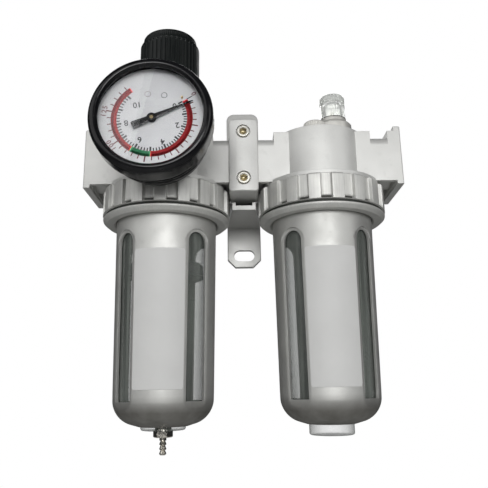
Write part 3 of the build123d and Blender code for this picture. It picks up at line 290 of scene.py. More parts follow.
def clear_plastic(name, tint, roughness, transmission=0.0):
    """Clear moulded plastic with faint flow marks.

    Without transmission it is a tinted film, clearest where it is seen squarely, with painted reflection
    streaks in its colour. With it, light bends.
    """
    shader = Shader(name, IOR=1.49, Transmission_Weight=transmission)
    flow = shader.noise(7, stretch=(1, 1, 4))
    fine = shader.noise(0.8, 3, shift=5.0)
    if transmission:
        shade = shader.mottle(flow, 0.3, 0.7, tint, scaled(tint, 0.9))
        shader.let_light_through()
    else:
        # Painted reflections: upright light and dark streaks in the colour stand for lamp reflections on the
        # bowl.
        reflection_streaks = shader.noise(2.4, stretch=(1, 1, 40), shift=1.0)
        shade = shader.mottle(reflection_streaks, 0.4, 0.66, scaled(tint, 0.62), scaled(tint, 1.5))
        slant = shader.node("ShaderNodeLayerWeight", {"Blend": 0.35}).outputs["Facing"]
        shader.feed("Alpha", shader.levels(slant, 0.0, 1.0, 0.14, 0.85))
    matt = shader.levels(fine, 0.3, 0.7, roughness, roughness + 0.06)
    return shader.made_of(shade, matt, shader.relief(flow, 0.12, 0.35, shader.relief(fine, 0.01, 0.2)))


def lens_plastic():
    """Clear gauge lens with fine wiping marks and a slight waviness."""
    shader = Shader("lens_plastic", IOR=1.49, Transmission_Weight=1.0)
    shader.let_light_through()
    wipe = shader.noise(0.3, stretch=(25, 1, 6))
    base = shader.mottle(wipe, 0.5, 0.8, (0.98, 0.98, 0.98), (0.93, 0.94, 0.94))
    matt = shader.levels(wipe, 0.3, 0.8, 0.0, 0.03)
    return shader.made_of(base, matt, shader.relief(shader.noise(11), 0.02, 0.2))


def moulded(name, colour, roughness, grain_size=0.35, waxy=0.0):
    """Plain moulded plastic or rubber with its own grain, mottling and rubbed edges."""
    shader = Shader(name, Subsurface_Weight=waxy, Subsurface_Radius=(0.002, 0.002, 0.0015))
    grain = shader.noise(grain_size, 3)
    base = shader.mottle(shader.noise(4, 3, shift=8.0), 0.35, 0.7, colour, scaled(colour, 0.84))
    base = shader.blend(shader.edges(0.2, 0.4), base, scaled(colour, 1.2, 0.02))
    matt = shader.levels(grain, 0.3, 0.7, roughness - 0.06, roughness + 0.08)
    return shader.made_of(base, matt, shader.relief(grain, 0.02, 0.5))


def porous():
    """Sintered filter medium: a felt of small round grains."""
    shader = Shader("porous_filter", Specular_IOR_Level=0.2)
    cells = shader.node("ShaderNodeTexVoronoi", {"Vector": shader.place, "Scale": 1 / (0.45 * MM)})
    depth = cells.outputs["Distance"]
    base = shader.mottle(depth, 0.1, 0.7, (0.6, 0.6, 0.56), (0.36, 0.36, 0.33))
    base = shader.mottle(shader.noise(8, 4), 0.45, 0.75, base, (0.46, 0.44, 0.37), 0.5)
    matt = shader.levels(depth, 0.1, 0.7, 0.8, 0.95)
    return shader.made_of(base, matt, shader.relief(depth, 0.15, 0.7))


LOOKS = {
    "cast_alloy": silver_paint("cast_paint", (0.66, 0.66, 0.64), 0.45, 0.35, 0.3, 0.45, softened=0.35),
    # Guard paint, with painted shade darkening its foot below the two heights given.
    "guard_metal": silver_paint("guard_paint", (0.55, 0.55, 0.53), 0.5, 0.7, 0.22, 0.3,
                                painted_foot_shade=(-120.5, -128)),
    "bracket_metal": silver_paint("bracket_paint", (0.5, 0.5, 0.485), 0.42, 0.35, 0.3, 0.4, softened=0.3),
    "ring_alloy": ring_lacquer(),
    "label_film": label_film(),
    "black_plastic": black_plastic(),
    "black_gloss": black_enamel(),
    "dial_white": dial_lacquer(),
    "brass": plated("turned_brass", (0.72, 0.52, 0.25), 0.26, (0.42, 0.3, 0.14)),
    "nickel": plated("nickel_plate", (0.76, 0.73, 0.66), 0.16, (0.58, 0.53, 0.44)),
    "steel": plated("zinc_steel", (0.56, 0.57, 0.59), 0.3, (0.4, 0.4, 0.4)),
    "clear_plastic": clear_plastic("bowl_plastic", (0.24, 0.26, 0.24), 0.08),
    "cream_plastic": moulded("cream_nylon", (0.72, 0.7, 0.62), 0.42, waxy=0.3),
    "seal_rubber": moulded("nitrile_rubber", (0.018, 0.018, 0.018), 0.6, grain_size=0.2),
    "dark_plastic": moulded("dark_acetal", (0.045, 0.045, 0.048), 0.4),
    "porous_filter": porous(),
}
DARK_BRASS = plated("dark_brass", (0.2, 0.16, 0.09), 0.4, (0.1, 0.08, 0.05))
SLOT_OF = {row["node"]: row["material_slot"] for row in frame["record"]["subparts"]}
BODY_OF = {
    node: body for body, nodes in frame["record"]["behaviour"]["bodies"].items() for node in nodes
}
for node, thing in frame["nodes"].items():
    thing.data.materials.clear()
    thing.data.materials.append(LOOKS[SLOT_OF[node]])
frame["nodes"]["pointer_arbor"].data.materials[0] = DARK_BRASS


# ---- mesh helpers ----
def rounded(corners, steps=3):
    """Closed outline in which a corner that has a third value is rounded to that radius."""
    outline = []
    for index, (a, b, *fillet) in enumerate(corners):
        corner = Vector((a, b))
        if not fillet:
            outline.append((a, b))
            continue
        back = Vector(corners[index - 1][:2]) - corner
        ahead = Vector(corners[(index + 1) % len(corners)][:2]) - corner
        half = back.angle(ahead) / 2
        reach = min(fillet[0] / math.tan(half), 0.48 * back.length, 0.48 * ahead.length)
        radius = reach * math.tan(half)
        inwards = (back.normalized() + ahead.normalized()).normalized()
        centre = corner + inwards * (radius / math.sin(half))
        start = corner + back.normalized() * reach - centre
        end = corner + ahead.normalized() * reach - centre
        spread = start.angle(end)
        for step in range(steps + 1):
            part = step / steps
            arm = start * math.sin((1 - part) * spread) + end * math.sin(part * spread)
            outline.append(tuple(centre + arm / math.sin(spread)))
    return outline


def divided(low, high, count):
    """Values from low to high, both included, in count equal steps."""
    return [low + (high - low) * index / count for index in range(count + 1)]


def arc_through(a, b, c, count):
    """Points on the circle through a, b and c, from a to c."""
    (ax, ay), (bx, by), (cx, cy) = a, b, c
    span = 2 * (ax * (by - cy) + bx * (cy - ay) + cx * (ay - by))
    aa, bb, cc = ax * ax + ay * ay, bx * bx + by * by, cx * cx + cy * cy
    mx = (aa * (by - cy) + bb * (cy - ay) + cc * (ay - by)) / span
    my = (aa * (cx - bx) + bb * (ax - cx) + cc * (bx - ax)) / span
    radius = math.hypot(ax - mx, ay - my)
    first, last = math.atan2(ay - my, ax - mx), math.atan2(cy - my, cx - mx)
    turn = (last - first + math.pi) % TAU - math.pi
    return [
        (mx + radius * math.cos(first + turn * part), my + radius * math.sin(first + turn * part))
        for part in divided(0, 1, count)
    ]


def added(name, data):
    """New object in the scene."""
    thing = bpy.data.objects.new(name, data)
    bpy.context.scene.collection.objects.link(thing)
    return thing


def axes_at(right, up, place):
    """Axes to the right, up and towards the viewer, moved to a place in millimetres."""
    pose = Matrix((right, up, right.cross(up))).transposed().to_4x4()
    pose.translation = Vector(place) * MM
    return pose


def new_piece(name, points, faces, crease=38):
    """Object from points in millimetres, smooth except over edges sharper than crease degrees."""
    work = bmesh.new()
    corners = [work.verts.new(Vector(point) * MM) for point in points]
    for face in faces:
        work.faces.new([corners[index] for index in face])
    bmesh.ops.remove_doubles(work, verts=work.verts, dist=1e-7)
    bmesh.ops.recalc_face_normals(work, faces=work.faces)
    for face in work.faces:
        face.smooth = True
    for edge in work.edges:
        if len(edge.link_faces) == 2 and edge.calc_face_angle(0.0) > math.radians(crease):
            edge.smooth = False
    mesh = bpy.data.meshes.new(name)
    work.to_mesh(mesh)
    work.free()
    return added(name, mesh)


def upright_at(x, y):
    """Places (radius, height, angle) round an upright axis."""
    return lambda r, h, a: (x + r * math.cos(a), y + r * math.sin(a), h)


def forward_at(x, z):
    """Places (radius, distance in front of the port axis, angle) round an axis to the front."""
    return lambda r, h, a: (x + r * math.cos(a), AXIS_Y - h, z + r * math.sin(a))


def round_angles(count, start=0.0):
    return [start + TAU * index / count for index in range(count)]


def lathe(name, outline, place, angles=None, shape=None, crease=38):
    """Closed outline turned right round an axis. shape changes (radius, height) at an angle."""
    angles = angles or round_angles(96)
    points = []
    for angle in angles:
        for r, h in outline:
            if shape:
                r, h = shape(r, h, angle)
            points.append(place(r, h, angle))
    rows, columns = len(outline), len(angles)
    faces = []
    for column in range(columns):
        here, there = column * rows, (column + 1) % columns * rows
        for row in range(rows):
            below = (row + 1) % rows
            faces.append((here + row, there + row, there + below, here + below))
    return new_piece(name, points, faces, crease)


def finish_piece(piece, node, look=None):
    """Gives a piece its look, body and material slot, all those of a CAD node."""
    piece.data.materials.append(look or LOOKS[SLOT_OF[node]])
    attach(piece, BODY_OF[node])
    return piece


def stand_for(piece, *nodes, look=None):
    """The piece is shown instead of the CAD nodes."""
    finish_piece(piece, nodes[0], look)
    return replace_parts(piece, *nodes)


def ease(value, low, high):
    """0 below low, 1 above high, smooth between."""
    part = min(1.0, max(0.0, (value - low) / (high - low)))
    return part * part * (3 - 2 * part)


def prisms(name, outlines, back, front):
    """Flat shapes in X and Z, in millimetres, each with a thickness from back to front."""
    points, faces = [], []
    for outline in outlines:
        count, first = len(outline), len(points)
        points += [(x, -front, z) for x, z in outline] + [(x, -back, z) for x, z in outline]
        faces.append(tuple(range(first, first + count)))
        faces.append(tuple(range(first + 2 * count - 1, first + count - 1, -1)))
        for index in range(count):
            after = (index + 1) % count
            faces.append((first + index, first + count + index, first + count + after, first + after))
    return new_piece(name, points, faces)


def tube(name, loops, crease):
    """Skin over loops of points that follow one another, with a flat face at each end."""
    count = len(loops[0])
    points = [point for loop in loops for point in loop]
    faces = [tuple(range(count)), tuple(range(len(points) - 1, len(points) - count - 1, -1))]
    for first in range(0, len(points) - count, count):
        for side in range(count):
            here, beside = first + side, first + (side + 1) % count
            faces.append((here, beside, beside + count, here + count))
    return new_piece(name, points, faces, crease)


HEX_FLAT = math.cos(TAU / 12)     # a hexagon's flats lie at this share of its corners' radius


def hexagon(flat_r, angle):
    """Radius at an angle of a hexagon whose flats lie flat_r from its middle."""
    return flat_r / math.cos((angle + TAU / 12) % (TAU / 6) - TAU / 12)


# ---- clamp rings ----
PADS = 18
PITCH = TAU / PADS
NOTCH_LOW, NOTCH_HIGH = -28.4, -27.1
RECESS_HALF = 2.9
# degrees from a recess's middle, close together where its sides are
RECESS_COLUMNS = (-10, -8, -6.6, -5.4, -5.1, -4.9, -4.7, -4.4, -4.0, -2.8, 0, 2.8, 4.0, 4.4, 4.7, 4.9, 5.1,
                  5.4, 6.6, 8)


def clamp_ring(name, x, stop_angle):
    """Ring nut with recesses between broad pads, open above and notched below, over a rolled bead."""
    heights = [NOTCH_LOW - 0.3, NOTCH_LOW - 0.25, NOTCH_LOW - 0.05, NOTCH_LOW, NOTCH_LOW + 0.25]
    heights += divided(NOTCH_HIGH - 0.1, NOTCH_HIGH + 0.3, 4) + divided(NOTCH_HIGH + 1.5, -17.6, 6)
    outline = (
        rounded([(26.7, -31.2), (26.7, -32.4, 0.3), (27.5, -33.1, 0.3), (31.3, -33.1, 0.5),
                 (33.2, -31.5, 0.9), (33.5, -30.4, 0.5), (31.4, -29.75, 0.2), (31.4, -28.75, 0.2),
                 (33.6, -28.6, 0.15)])
        + [(RING_R, height) for height in heights]
        + rounded([(33.6, -16.9), (33.6, -16.1, 0.5), (32.9, -15.4, 0.35), (29.05, -15.4, 0.2),
                   (29.05, -31.2)])
    )
    angles = [
        math.radians(offset + stop_angle) + (index + 0.5) * PITCH - math.pi / 2
        for index in range(PADS)
        for offset in RECESS_COLUMNS
    ]

    def shape(r, h, angle):
        if r < 31.0 or h < NOTCH_LOW - 0.3:
            return r, h
        turn = (angle - math.radians(stop_angle) + math.pi / 2) % PITCH - PITCH / 2
        cut = ease(RECESS_HALF - abs(turn) * RING_R, -0.12, 0.45)
        depth = 1.9 + 1.1 * ease(h, NOTCH_LOW - 0.25, NOTCH_LOW) * ease(-h, -NOTCH_HIGH - 0.25, -NOTCH_HIGH)
        run = ease(h, NOTCH_LOW - 0.3, NOTCH_LOW - 0.05)
        return min(r, RING_R - depth * cut * run), h

    return lathe(name, outline, upright_at(x, AXIS_Y), angles, shape, crease=60)


# each ring stops where its thread is tight, at its own angle in degrees
stand_for(clamp_ring("filter_ring_cast", FILTER_X, 1.3), "filter_clamp_ring")
stand_for(clamp_ring("lubricator_ring_cast", LUBE_X, 7.4), "lubricator_clamp_ring")
# Dark lining laid in the groove under the pads and in the notches: painted shade for these recesses.
GROOVE_SHADE_LOOK = moulded("groove_painted_shade", (0.03, 0.032, 0.028), 0.7)
SHADE_LINING_OUTLINE = [(30.2, -29.7), (32.2, -29.7), (32.3, -29.5), (32.3, -28.9), (31.2, -28.5),
                 (31.0, -27.2), (30.2, -27.1)]
for unit, x in (("filter", FILTER_X), ("lubricator", LUBE_X)):
    shade_lining = lathe(unit + "_ring_painted_shade", SHADE_LINING_OUTLINE, upright_at(x, AXIS_Y), round_angles(144))
    finish_piece(shade_lining, unit + "_clamp_ring", GROOVE_SHADE_LOOK)


# ---- bowl guards ----
GUARD_TOP_R, GUARD_TOP_Z = 26.3, -33.2
GUARD_LOW_R, GUARD_LOW_Z = 25.0, -121.5
GUARD_TAPER = (GUARD_TOP_R - GUARD_LOW_R) / (GUARD_TOP_Z - GUARD_LOW_Z)
GUARD_WALL = 1.6
ARCH_Z = -46.45                   # centre of the windows' round tops
WINDOW_HALF = 5.65
WINDOW_LOW = -122.9
FLAT_HALF = 7.2                   # half width of the flat round each window
FLAT_TOP_R = 25.3                 # how far the flat lies from the axis at GUARD_TOP_Z
GUARD_DOME = arc_through((GUARD_LOW_R, GUARD_LOW_Z), (22.3, -129.4), (16.5, -133.5), 30)
GUARD_DOME_INSIDE = arc_through((23.4, GUARD_LOW_Z), (21.1, -128.2), (16.2, -131.9), 30)


def guard_radius(z):
    """Outside radius of the guard's wall, even above GUARD_TOP_Z and tapered below it."""
    return GUARD_TOP_R - max(0.0, GUARD_TOP_Z - z) * GUARD_TAPER


def in_window(offset):
    return offset is not None and abs(offset) <= WINDOW_HALF + 1e-6


def guard(name, x):
    """Drawn tapered shell with four round-topped windows, each set in a shallow flat."""
    arch = [WINDOW_HALF * math.sin(math.radians(part)) for part in divided(0, 90, 9)]
    offsets = arch + [6.1, 6.6, 7.0, FLAT_HALF]
    beside = [math.radians(part) for part in (18.2, 21.5, 26, 31, 36, 40.5)]
    low_rows = [point for point in GUARD_DOME if point[1] < WINDOW_LOW - 0.3]
    low_inside = GUARD_DOME_INSIDE[len(GUARD_DOME) - len(low_rows):]
    sill_r = GUARD_LOW_R - 0.08
    outside_low = [(sill_r, WINDOW_LOW)] + low_rows
    outside_low += [(14.2, -134.2), (12.2, -134.8), (11.6, -134.85), (11.5, -134.6)]
    inside_low = [(23.33, WINDOW_LOW)] + low_inside
    inside_low += [(14.2, -132.55), (12.4, -133.1), (11.7, -133.35), (11.5, -133.6)]

    def column(offset):
        """Heights down one column beside a window's middle, each with how far it is sunk to the flat."""
        reach = FLAT_HALF if offset is None else abs(offset)
        flat_top = ARCH_Z + math.sqrt(max(FLAT_HALF**2 - reach**2, 0.0))
        if in_window(offset):
            frame_top = ARCH_Z + math.sqrt(max(WINDOW_HALF**2 - reach**2, 0.0))
        else:
            frame_top = ARCH_Z - 0.9 * (reach - WINDOW_HALF)
        upper = [(z, 0.0) for z in divided(-31.1, flat_top, 7)]
        upper += [(flat_top - 0.06, 0.2), (flat_top - 0.16, 0.75), (flat_top - 0.3, 1.0)]
        upper += [(z, 1.0) for z in divided(flat_top - 0.3, frame_top, 3)[1:]]
        sides = [(z, 1.0) for z in divided(frame_top, WINDOW_LOW, 18)[1:-1]]
        return upper, sides

    spread = [(None, -turn) for turn in reversed(beside)]
    spread += [(-offset, None) for offset in reversed(offsets[1:])] + [(offset, None) for offset in offsets]
    spread += [(None, turn) for turn in beside] + [(None, math.radians(45))]
    columns = [
        (math.radians(45 + 90 * quarter), offset, turn) for quarter in range(4) for offset, turn in spread
    ]

    def put(radius, z, middle_angle, offset, turn, sunk, low):
        """A point of a column: beside the window by offset, which narrows when low, or round by turn."""
        if offset is None:
            sideways = radius * math.sin(turn)
        else:
            sideways = radius * offset / sill_r if low else offset
        ahead = math.sqrt(max(radius**2 - sideways**2, 0.0))
        flat = FLAT_TOP_R - (GUARD_TOP_Z - z) * GUARD_TAPER
        if sunk and ahead > flat:
            ahead += (flat - ahead) * sunk
        along = Vector((math.cos(middle_angle), math.sin(middle_angle)))
        across = Vector((-along.y, along.x))
        spot = along * ahead + across * sideways
        return (x + spot.x, AXIS_Y + spot.y, z)

    points = []
    rim = [(24.7, -29.8), (28.2, -29.8), (28.4, -30.0), (28.4, -30.9), (28.2, -31.1)]
    for place in columns:
        upper, sides = column(place[1])
        loop = [put(r, z, *place, 0.0, True) for r, z in rim]
        loop += [put(guard_radius(z), z, *place, sunk, False) for z, sunk in upper]
        frame_row = len(loop) - 1
        loop += [put(guard_radius(z), z, *place, sunk, False) for z, sunk in sides]
        loop += [put(r, z, *place, 1.0, True) for r, z in outside_low]
        sill_row = len(loop) - len(outside_low)
        loop += [put(r, z, *place, 0.0, True) for r, z in reversed(inside_low)]
        inner_sill = len(loop) - 1
        loop += [put(guard_radius(z) - GUARD_WALL, z, *place, 0.0, False) for z, _ in reversed(sides)]
        inner_frame = len(loop)
        loop += [put(guard_radius(z) - GUARD_WALL, z, *place, 0.0, False) for z, _ in reversed(upper)]
        points += loop

    rows, total = len(loop), len(columns)
    faces = []

    def is_open(index):
        """Whether the cells between this column and the next lie in a window."""
        return in_window(columns[index][1]) and in_window(columns[(index + 1) % total][1])

    for index in range(total):
        here, there = index * rows, (index + 1) % total * rows
        for row in range(rows):
            below = (row + 1) % rows
            in_outer = frame_row <= row < sill_row
            in_inner = inner_sill <= row < inner_frame
            if is_open(index) and (in_outer or in_inner):
                continue
            faces.append((here + row, there + row, there + below, here + below))
        if is_open(index):
            faces.append((here + frame_row, there + frame_row, there + inner_frame, here + inner_frame))
            faces.append((here + sill_row, here + inner_sill, there + inner_sill, there + sill_row))
    for index in range(total):
        if is_open(index) != is_open(index - 1):
            base = index * rows
            for step in range(sill_row - frame_row):
                outer, inner = base + frame_row + step, base + inner_frame - step
                faces.append((outer, outer + 1, inner - 1, inner))
    shell = new_piece(name, points, faces, crease=50)
    soften = shell.modifiers.new("worn_rims", "BEVEL")
    soften.width = 0.3 * MM
    soften.segments = 2
    soften.limit_method = "ANGLE"
    soften.angle_limit = math.radians(60)
    return shell


stand_for(guard("filter_guard_shell", FILTER_X), "filter_bowl_guard")
stand_for(guard("lubricator_guard_shell", LUBE_X), "lubricator_bowl_guard")


# ---- labels ----
def label(name, x):
    """Thin film with rounded corners, wrapped round the front of the guard."""
    top, low, half, fillet = -50.6, -117.4, 28.0, 0.5
    columns, rows = 40, 48
    points, faces = [], []
    for thick in (0.05, 0.28):
        for row in range(rows + 1):
            z = top + (low - top) * row / rows
            from_end = min(top - z, z - low)
            into_corner = max(fillet - from_end, 0.0)
            inset = fillet - math.sqrt(max(fillet**2 - into_corner**2, 0.0))
            radius = guard_radius(z) + thick
            span = math.radians(half) - inset / radius
            for angle in divided(-span, span, columns):
                points.append((x + radius * math.sin(angle), AXIS_Y - radius * math.cos(angle), z))
    sheet = (rows + 1) * (columns + 1)
    for row in range(rows):
        for column in range(columns):
            a = row * (columns + 1) + column
            faces.append((a, a + 1, a + columns + 2, a + columns + 1))
            faces.append((sheet + a, sheet + a + columns + 1, sheet + a + columns + 2, sheet + a + 1))
    edge = list(range(columns + 1))
    edge += [row * (columns + 1) + columns for row in range(1, rows + 1)]
    edge += [rows * (columns + 1) + column for column in range(columns - 1, -1, -1)]
    edge += [row * (columns + 1) for row in range(rows - 1, 0, -1)]
    for a, b in zip(edge, edge[1:] + edge[:1]):
        faces.append((a, sheet + a, sheet + b, b))
    return new_piece(name, points, faces, crease=50)


stand_for(label("filter_label_film", FILTER_X), "filter_label")
stand_for(label("lubricator_label_film", LUBE_X), "lubricator_label")


# ---- clear bowls ----
def bowl(name, x, foot_z, bore_r):
    """Clear cup with a rolled foot; the filter's foot is bored for its drain."""
    foot = [(15.4, -131.2)]
    foot += rounded([(12.4, -132.0), (11.1, -132.5, 0.6), (11.1, foot_z, 1.1), (bore_r, foot_z)], steps=5)[1:]
    inside = [(bore_r, -129.8)] if bore_r > 0.1 else [(0.0, -129.8)]
    outline = (
        [(22.3, -21.0), (24.9, -21.0), (25.3, -21.4), (25.3, -23.1), (23.9, -23.1), (23.9, -25.3),
         (25.3, -25.3), (25.3, -28.1), (28.4, -28.1), (28.4, -29.7), (24.2, -29.7)]
        + [(24.2 - 1.3 * part, -29.7 - 91.8 * part) for part in divided(0, 1, 8)[1:]]
        + arc_through((22.9, -121.5), (20.3, -127.6), (15.4, -131.2), 12)[1:-1]
        + foot
        + inside
        + [(7.5, -129.8)]
        + arc_through((14.0, -129.0), (18.4, -126.2), (20.7, -121.5), 10)
        + [(20.7 + 1.6 * part, -121.5 + 100.5 * part) for part in divided(0, 1, 6)[1:-1]]
    )
    return lathe(name, outline, upright_at(x, AXIS_Y), round_angles(112))


stand_for(bowl("filter_bowl_clear", FILTER_X, -136.6, 4.05), "filter_bowl")
stand_for(bowl("lubricator_bowl_clear", LUBE_X, -140.0, 0.0), "lubricator_bowl")


# ---- knob and bonnet ----
def knob():
    """Push-lock knob: broad ribs round the skirt, fine ones round the cap, a dished top."""
    ribs = 40
    outline = rounded([(14.0, 46.0), (16.9, 46.0, 0.5), (16.9, 47.0)])
    outline += [(16.9, z) for z in divided(47.2, 49.0, 5) + divided(50.5, 70.5, 6) + divided(71.2, 72.7, 4)]
    outline += rounded([(16.9, 72.8), (16.9, 73.5, 0.35), (15.3, 73.8, 0.15), (15.3, 74.2)])[1:]
    outline += [(15.3, z) for z in divided(74.3, 77.0, 5)]
    outline += rounded([(15.3, 77.1), (15.3, 78.5, 1.1), (12.2, 78.5, 0.5), (11.8, 78.1, 0.3), (0.0, 78.1)],
                       steps=4)[1:]
    outline += [(0.0, 72.0), (14.0, 72.0)]

    def shape(r, h, angle):
        wave = 0.5 + 0.5 * math.cos(ribs * angle)
        if r > 16.6 and h < 72.8:
            run = ease(h, 47.0, 47.9) * ease(-h, -72.7, -71.9)
            return r - 0.62 * run * ease(wave, 0.45, 0.95), h
        if 15.2 < r < 15.4 and h > 74.1:
            run = ease(h, 74.2, 74.6) * ease(-h, -77.1, -76.6)
            return r - 0.22 * run * ease(0.5 + 0.5 * math.cos(2 * ribs * angle), 0.3, 0.9), h
        return r, h

    return lathe("knob_moulding", outline, upright_at(FILTER_X, AXIS_Y), round_angles(ribs * 12), shape, 55)


stand_for(knob(), "knob")


def bonnet():
    """Ribbed bonnet between the body and the knob, with two key slots inside for the spring seat."""
    grooves, key_depth = 24, 1.75
    outline = rounded([(15.5, 10.95), (20.95, 10.95), (20.95, 14.25), (24.3, 14.25, 0.2), (24.3, 17.6, 0.5),
                       (21.6, 18.6, 0.6)])
    outline += [(21.6 - 2.4 * part, 18.6 + 24.6 * part) for part in divided(0.05, 0.95, 18)]
    outline += rounded([(19.25, 42.6), (19.2, 43.2, 0.3), (18.2, 44.2, 0.4), (12.5, 44.2, 0.4),
                        (12.5, 50.0, 0.3), (4.08, 50.0), (4.08, 40.0), (15.5, 40.0), (15.5, 20.2),
                        (15.5, 20.0)])[1:]

    def shape(r, h, angle):
        if 15.4 < r < 15.6 and h > 20.1:
            beside_key = abs(r * math.sin(angle))
            return r + key_depth * ease(-beside_key, -2.1, -1.75), h
        if r < 19.0 or h < 19.0:
            return r, h
        wave = 0.5 + 0.5 * math.cos(grooves * (angle - TAU / grooves / 2))
        run = ease(h, 19.6, 21.2) * ease(-h, -41.4, -40.0)
        return r - 1.0 * run * ease(wave, 0.35, 0.9), h

    angles = round_angles(grooves * 14)
    return lathe("bonnet_moulding", outline, upright_at(FILTER_X, AXIS_Y), angles, shape, 55)


stand_for(bonnet(), "bonnet")


# ---- pressure gauge ----
round_gauge = forward_at(FILTER_X, GAUGE_Z)
case_outline = rounded([
    (5.6, 34.2), (22.5, 34.2, 0.8), (24.0, 35.7, 0.8), (24.0, 40.5, 0.5), (25.6, 41.5, 0.5),
    (25.6, 43.3, 0.15), (25.0, 43.45, 0.1), (25.0, 44.25, 0.1), (25.6, 44.4, 0.15),
    (25.6, 45.5, 0.15), (25.0, 45.65, 0.1), (25.0, 46.45, 0.1), (25.6, 46.6, 0.15),
    (25.6, 48.0, 0.3), (26.3, 48.6, 0.3), (26.3, 59.6), (25.2, 59.6), (25.2, 50.2), (24.4, 49.6),
    (24.4, 42.6), (22.6, 41.4), (22.6, 35.8), (5.6, 35.8),
])
stand_for(lathe("gauge_case_shell", case_outline, round_gauge, round_angles(144)), "gauge_case")

bezel_outline = (
    rounded([(26.4, 52.0, 0.3), (27.5, 52.0, 0.4), (28.1, 53.0, 0.4), (28.1, 55.0)])
    + [(28.1, 57.0), (28.1, 59.5)]
    + arc_through((28.1, 61.4), (27.2, 63.3), (25.2, 64.1), 12)
    + rounded([(25.2, 64.1), (24.6, 63.9, 0.3), (24.1, 63.2, 0.4), (23.6, 62.6, 0.25), (23.6, 61.9, 0.15),
               (26.4, 61.9), (26.4, 52.0)])[1:-1]
)
stand_for(lathe("gauge_bezel_shell", bezel_outline, round_gauge, round_angles(160)), "gauge_bezel")

lens_outline = [(0.0, 61.85), (6.0, 61.84), (12.0, 61.8), (18.0, 61.72), (22.0, 61.66), (25.0, 61.6),
                (26.0, 61.5), (26.2, 61.3), (26.2, 60.3), (26.1, 60.2), (0.0, 60.2)]
stand_for(lathe("gauge_lens_cover", lens_outline, round_gauge), "gauge_lens", look=lens_plastic())

dial_outline = [(1.4, 57.6), (12.0, 57.6), (24.6, 57.6), (24.9, 57.55), (25.0, 57.4), (25.0, 57.05),
                (24.9, 57.0), (1.4, 57.0)]
stand_for(lathe("dial_plate", dial_outline, round_gauge), "gauge_dial")

INK_BLACK = print_ink("ink_black", (0.02, 0.02, 0.022))
INK_RED = print_ink("ink_red", (0.58, 0.02, 0.025))
INK_GREEN = print_ink("ink_green", (0.04, 0.3, 0.13))
INK_MAROON = print_ink("ink_maroon", (0.08, 0.012, 0.016))
BAND_IN, BAND_OUT = 15.95, 18.55


def scale_angle(value):
    """Where the scale's value lies, anticlockwise from +X as seen from the front."""
    return math.radians(31 - 23.2 * value - 0.24 * value**2)


def on_dial(r, angle, x=FILTER_X, z=GAUGE_Z):
    return x + r * math.cos(angle), z + r * math.sin(angle)


def strip(inner, outer, angles, *middle):
    """Flat four-cornered shapes between two radii, from each angle to the next."""
    return [
        [on_dial(r, angle, *middle) for r, angle in ((inner, a), (outer, a), (outer, b), (inner, b))]
        for a, b in zip(angles, angles[1:])
    ]


def printed(name, outlines, look, height=0.03):
    """Ink of this height on the dial, in flat outlines."""
    return finish_piece(prisms(name, outlines, -DIAL_FACE - 0.01, -DIAL_FACE + height), "gauge_dial", look)


def band(first, last):
    """Stretch of the coloured band between two values of the scale."""
    values = divided(first, last, int((last - first) * 12))
    return strip(BAND_IN, BAND_OUT, [scale_angle(value) for value in values])


def tick(value, inner, outer, width):
    angle = scale_angle(value)
    swing_in, swing_out = width / 2 / inner, width / 2 / outer
    return [on_dial(inner, angle - swing_in), on_dial(outer, angle - swing_out),
            on_dial(outer, angle + swing_out), on_dial(inner, angle + swing_in)]


printed("dial_band_red", band(0, 5) + band(6.2, 10.4), INK_RED, 0.02)
printed("dial_band_green", band(5, 6.2), INK_GREEN, 0.02)
inner_ticks = [
    tick(step / 5, 13.8 if step % 5 == 0 else 14.4, BAND_IN, 0.85 if step % 5 == 0 else 0.56)
    for step in range(51)
]
printed("dial_ticks_inner", inner_ticks, INK_BLACK)
OUTER_PER_INNER = 14.22           # the outer scale's steps in one of the inner scale
outer_ticks = [
    tick(value / OUTER_PER_INNER, 18.3, 21.2 if value % 25 == 0 else 20.3, 0.64 if value % 25 == 0 else 0.5)
    for value in range(5, 146, 5)
]
printed("dial_ticks_outer", outer_ticks, INK_MAROON)
printed("dial_tick_zero", [tick(0, 18.3, 21.2, 0.45)], INK_BLACK)


def circle_line(x, z, radius, width):
    """Thin ring drawn round a point of the dial."""
    return strip(radius - width, radius, round_angles(28) + [TAU], x, z)


printed("dial_ring_mark", circle_line(FILTER_X + 5.4, GAUGE_Z + 11.5, 1.4, 0.22), INK_BLACK)
printed("dial_ring_mark_faint", circle_line(FILTER_X - 2.1, GAUGE_Z + 12.2, 1.4, 0.14), INK_MAROON)


FONT_SIZE = 1.38                  # for numbers 1 high


def numeral(text, r, angle, lean, height, look, spacing=1.0):
    """A number printed on the dial, turned by lean."""
    curve = bpy.data.curves.new("numeral_" + text, "FONT")
    curve.body = text
    curve.size = height * FONT_SIZE * MM
    curve.align_x = curve.align_y = "CENTER"
    curve.extrude = 0.015 * MM
    curve.offset = 0.07 * MM
    curve.space_character = spacing
    curve.resolution_u = 5
    drawn = added("numeral_source", curve)
    bpy.context.view_layer.update()
    mesh = bpy.data.meshes.new_from_object(drawn.evaluated_get(bpy.context.evaluated_depsgraph_get()))
    bpy.data.objects.remove(drawn)
    x, z = on_dial(r, angle)
    right = Vector((math.cos(lean), 0, math.sin(lean)))
    up = Vector((-math.sin(lean), 0, math.cos(lean)))
    mesh.transform(axes_at(right, up, (x, DIAL_FACE - 0.02, z)))
    mesh.materials.clear()
    finish_piece(added(f"dial_{look.name}_{text}", mesh), "gauge_dial", look)


for value, r in ((0, 11.9), (2, 12.1), (4, 12.4), (6, 11.5), (8, 11.7), (10, 9.7)):
    numeral(str(value), r, scale_angle(value), math.radians(188), 2.8, INK_BLACK)
for text, r, at in (("0", 22.3, 32.7), ("100", 21.9, -144), ("125", 21.9, 170)):
    numeral(text, r, math.radians(at), math.radians(at - 90), 2.3, INK_MAROON, 1.25)

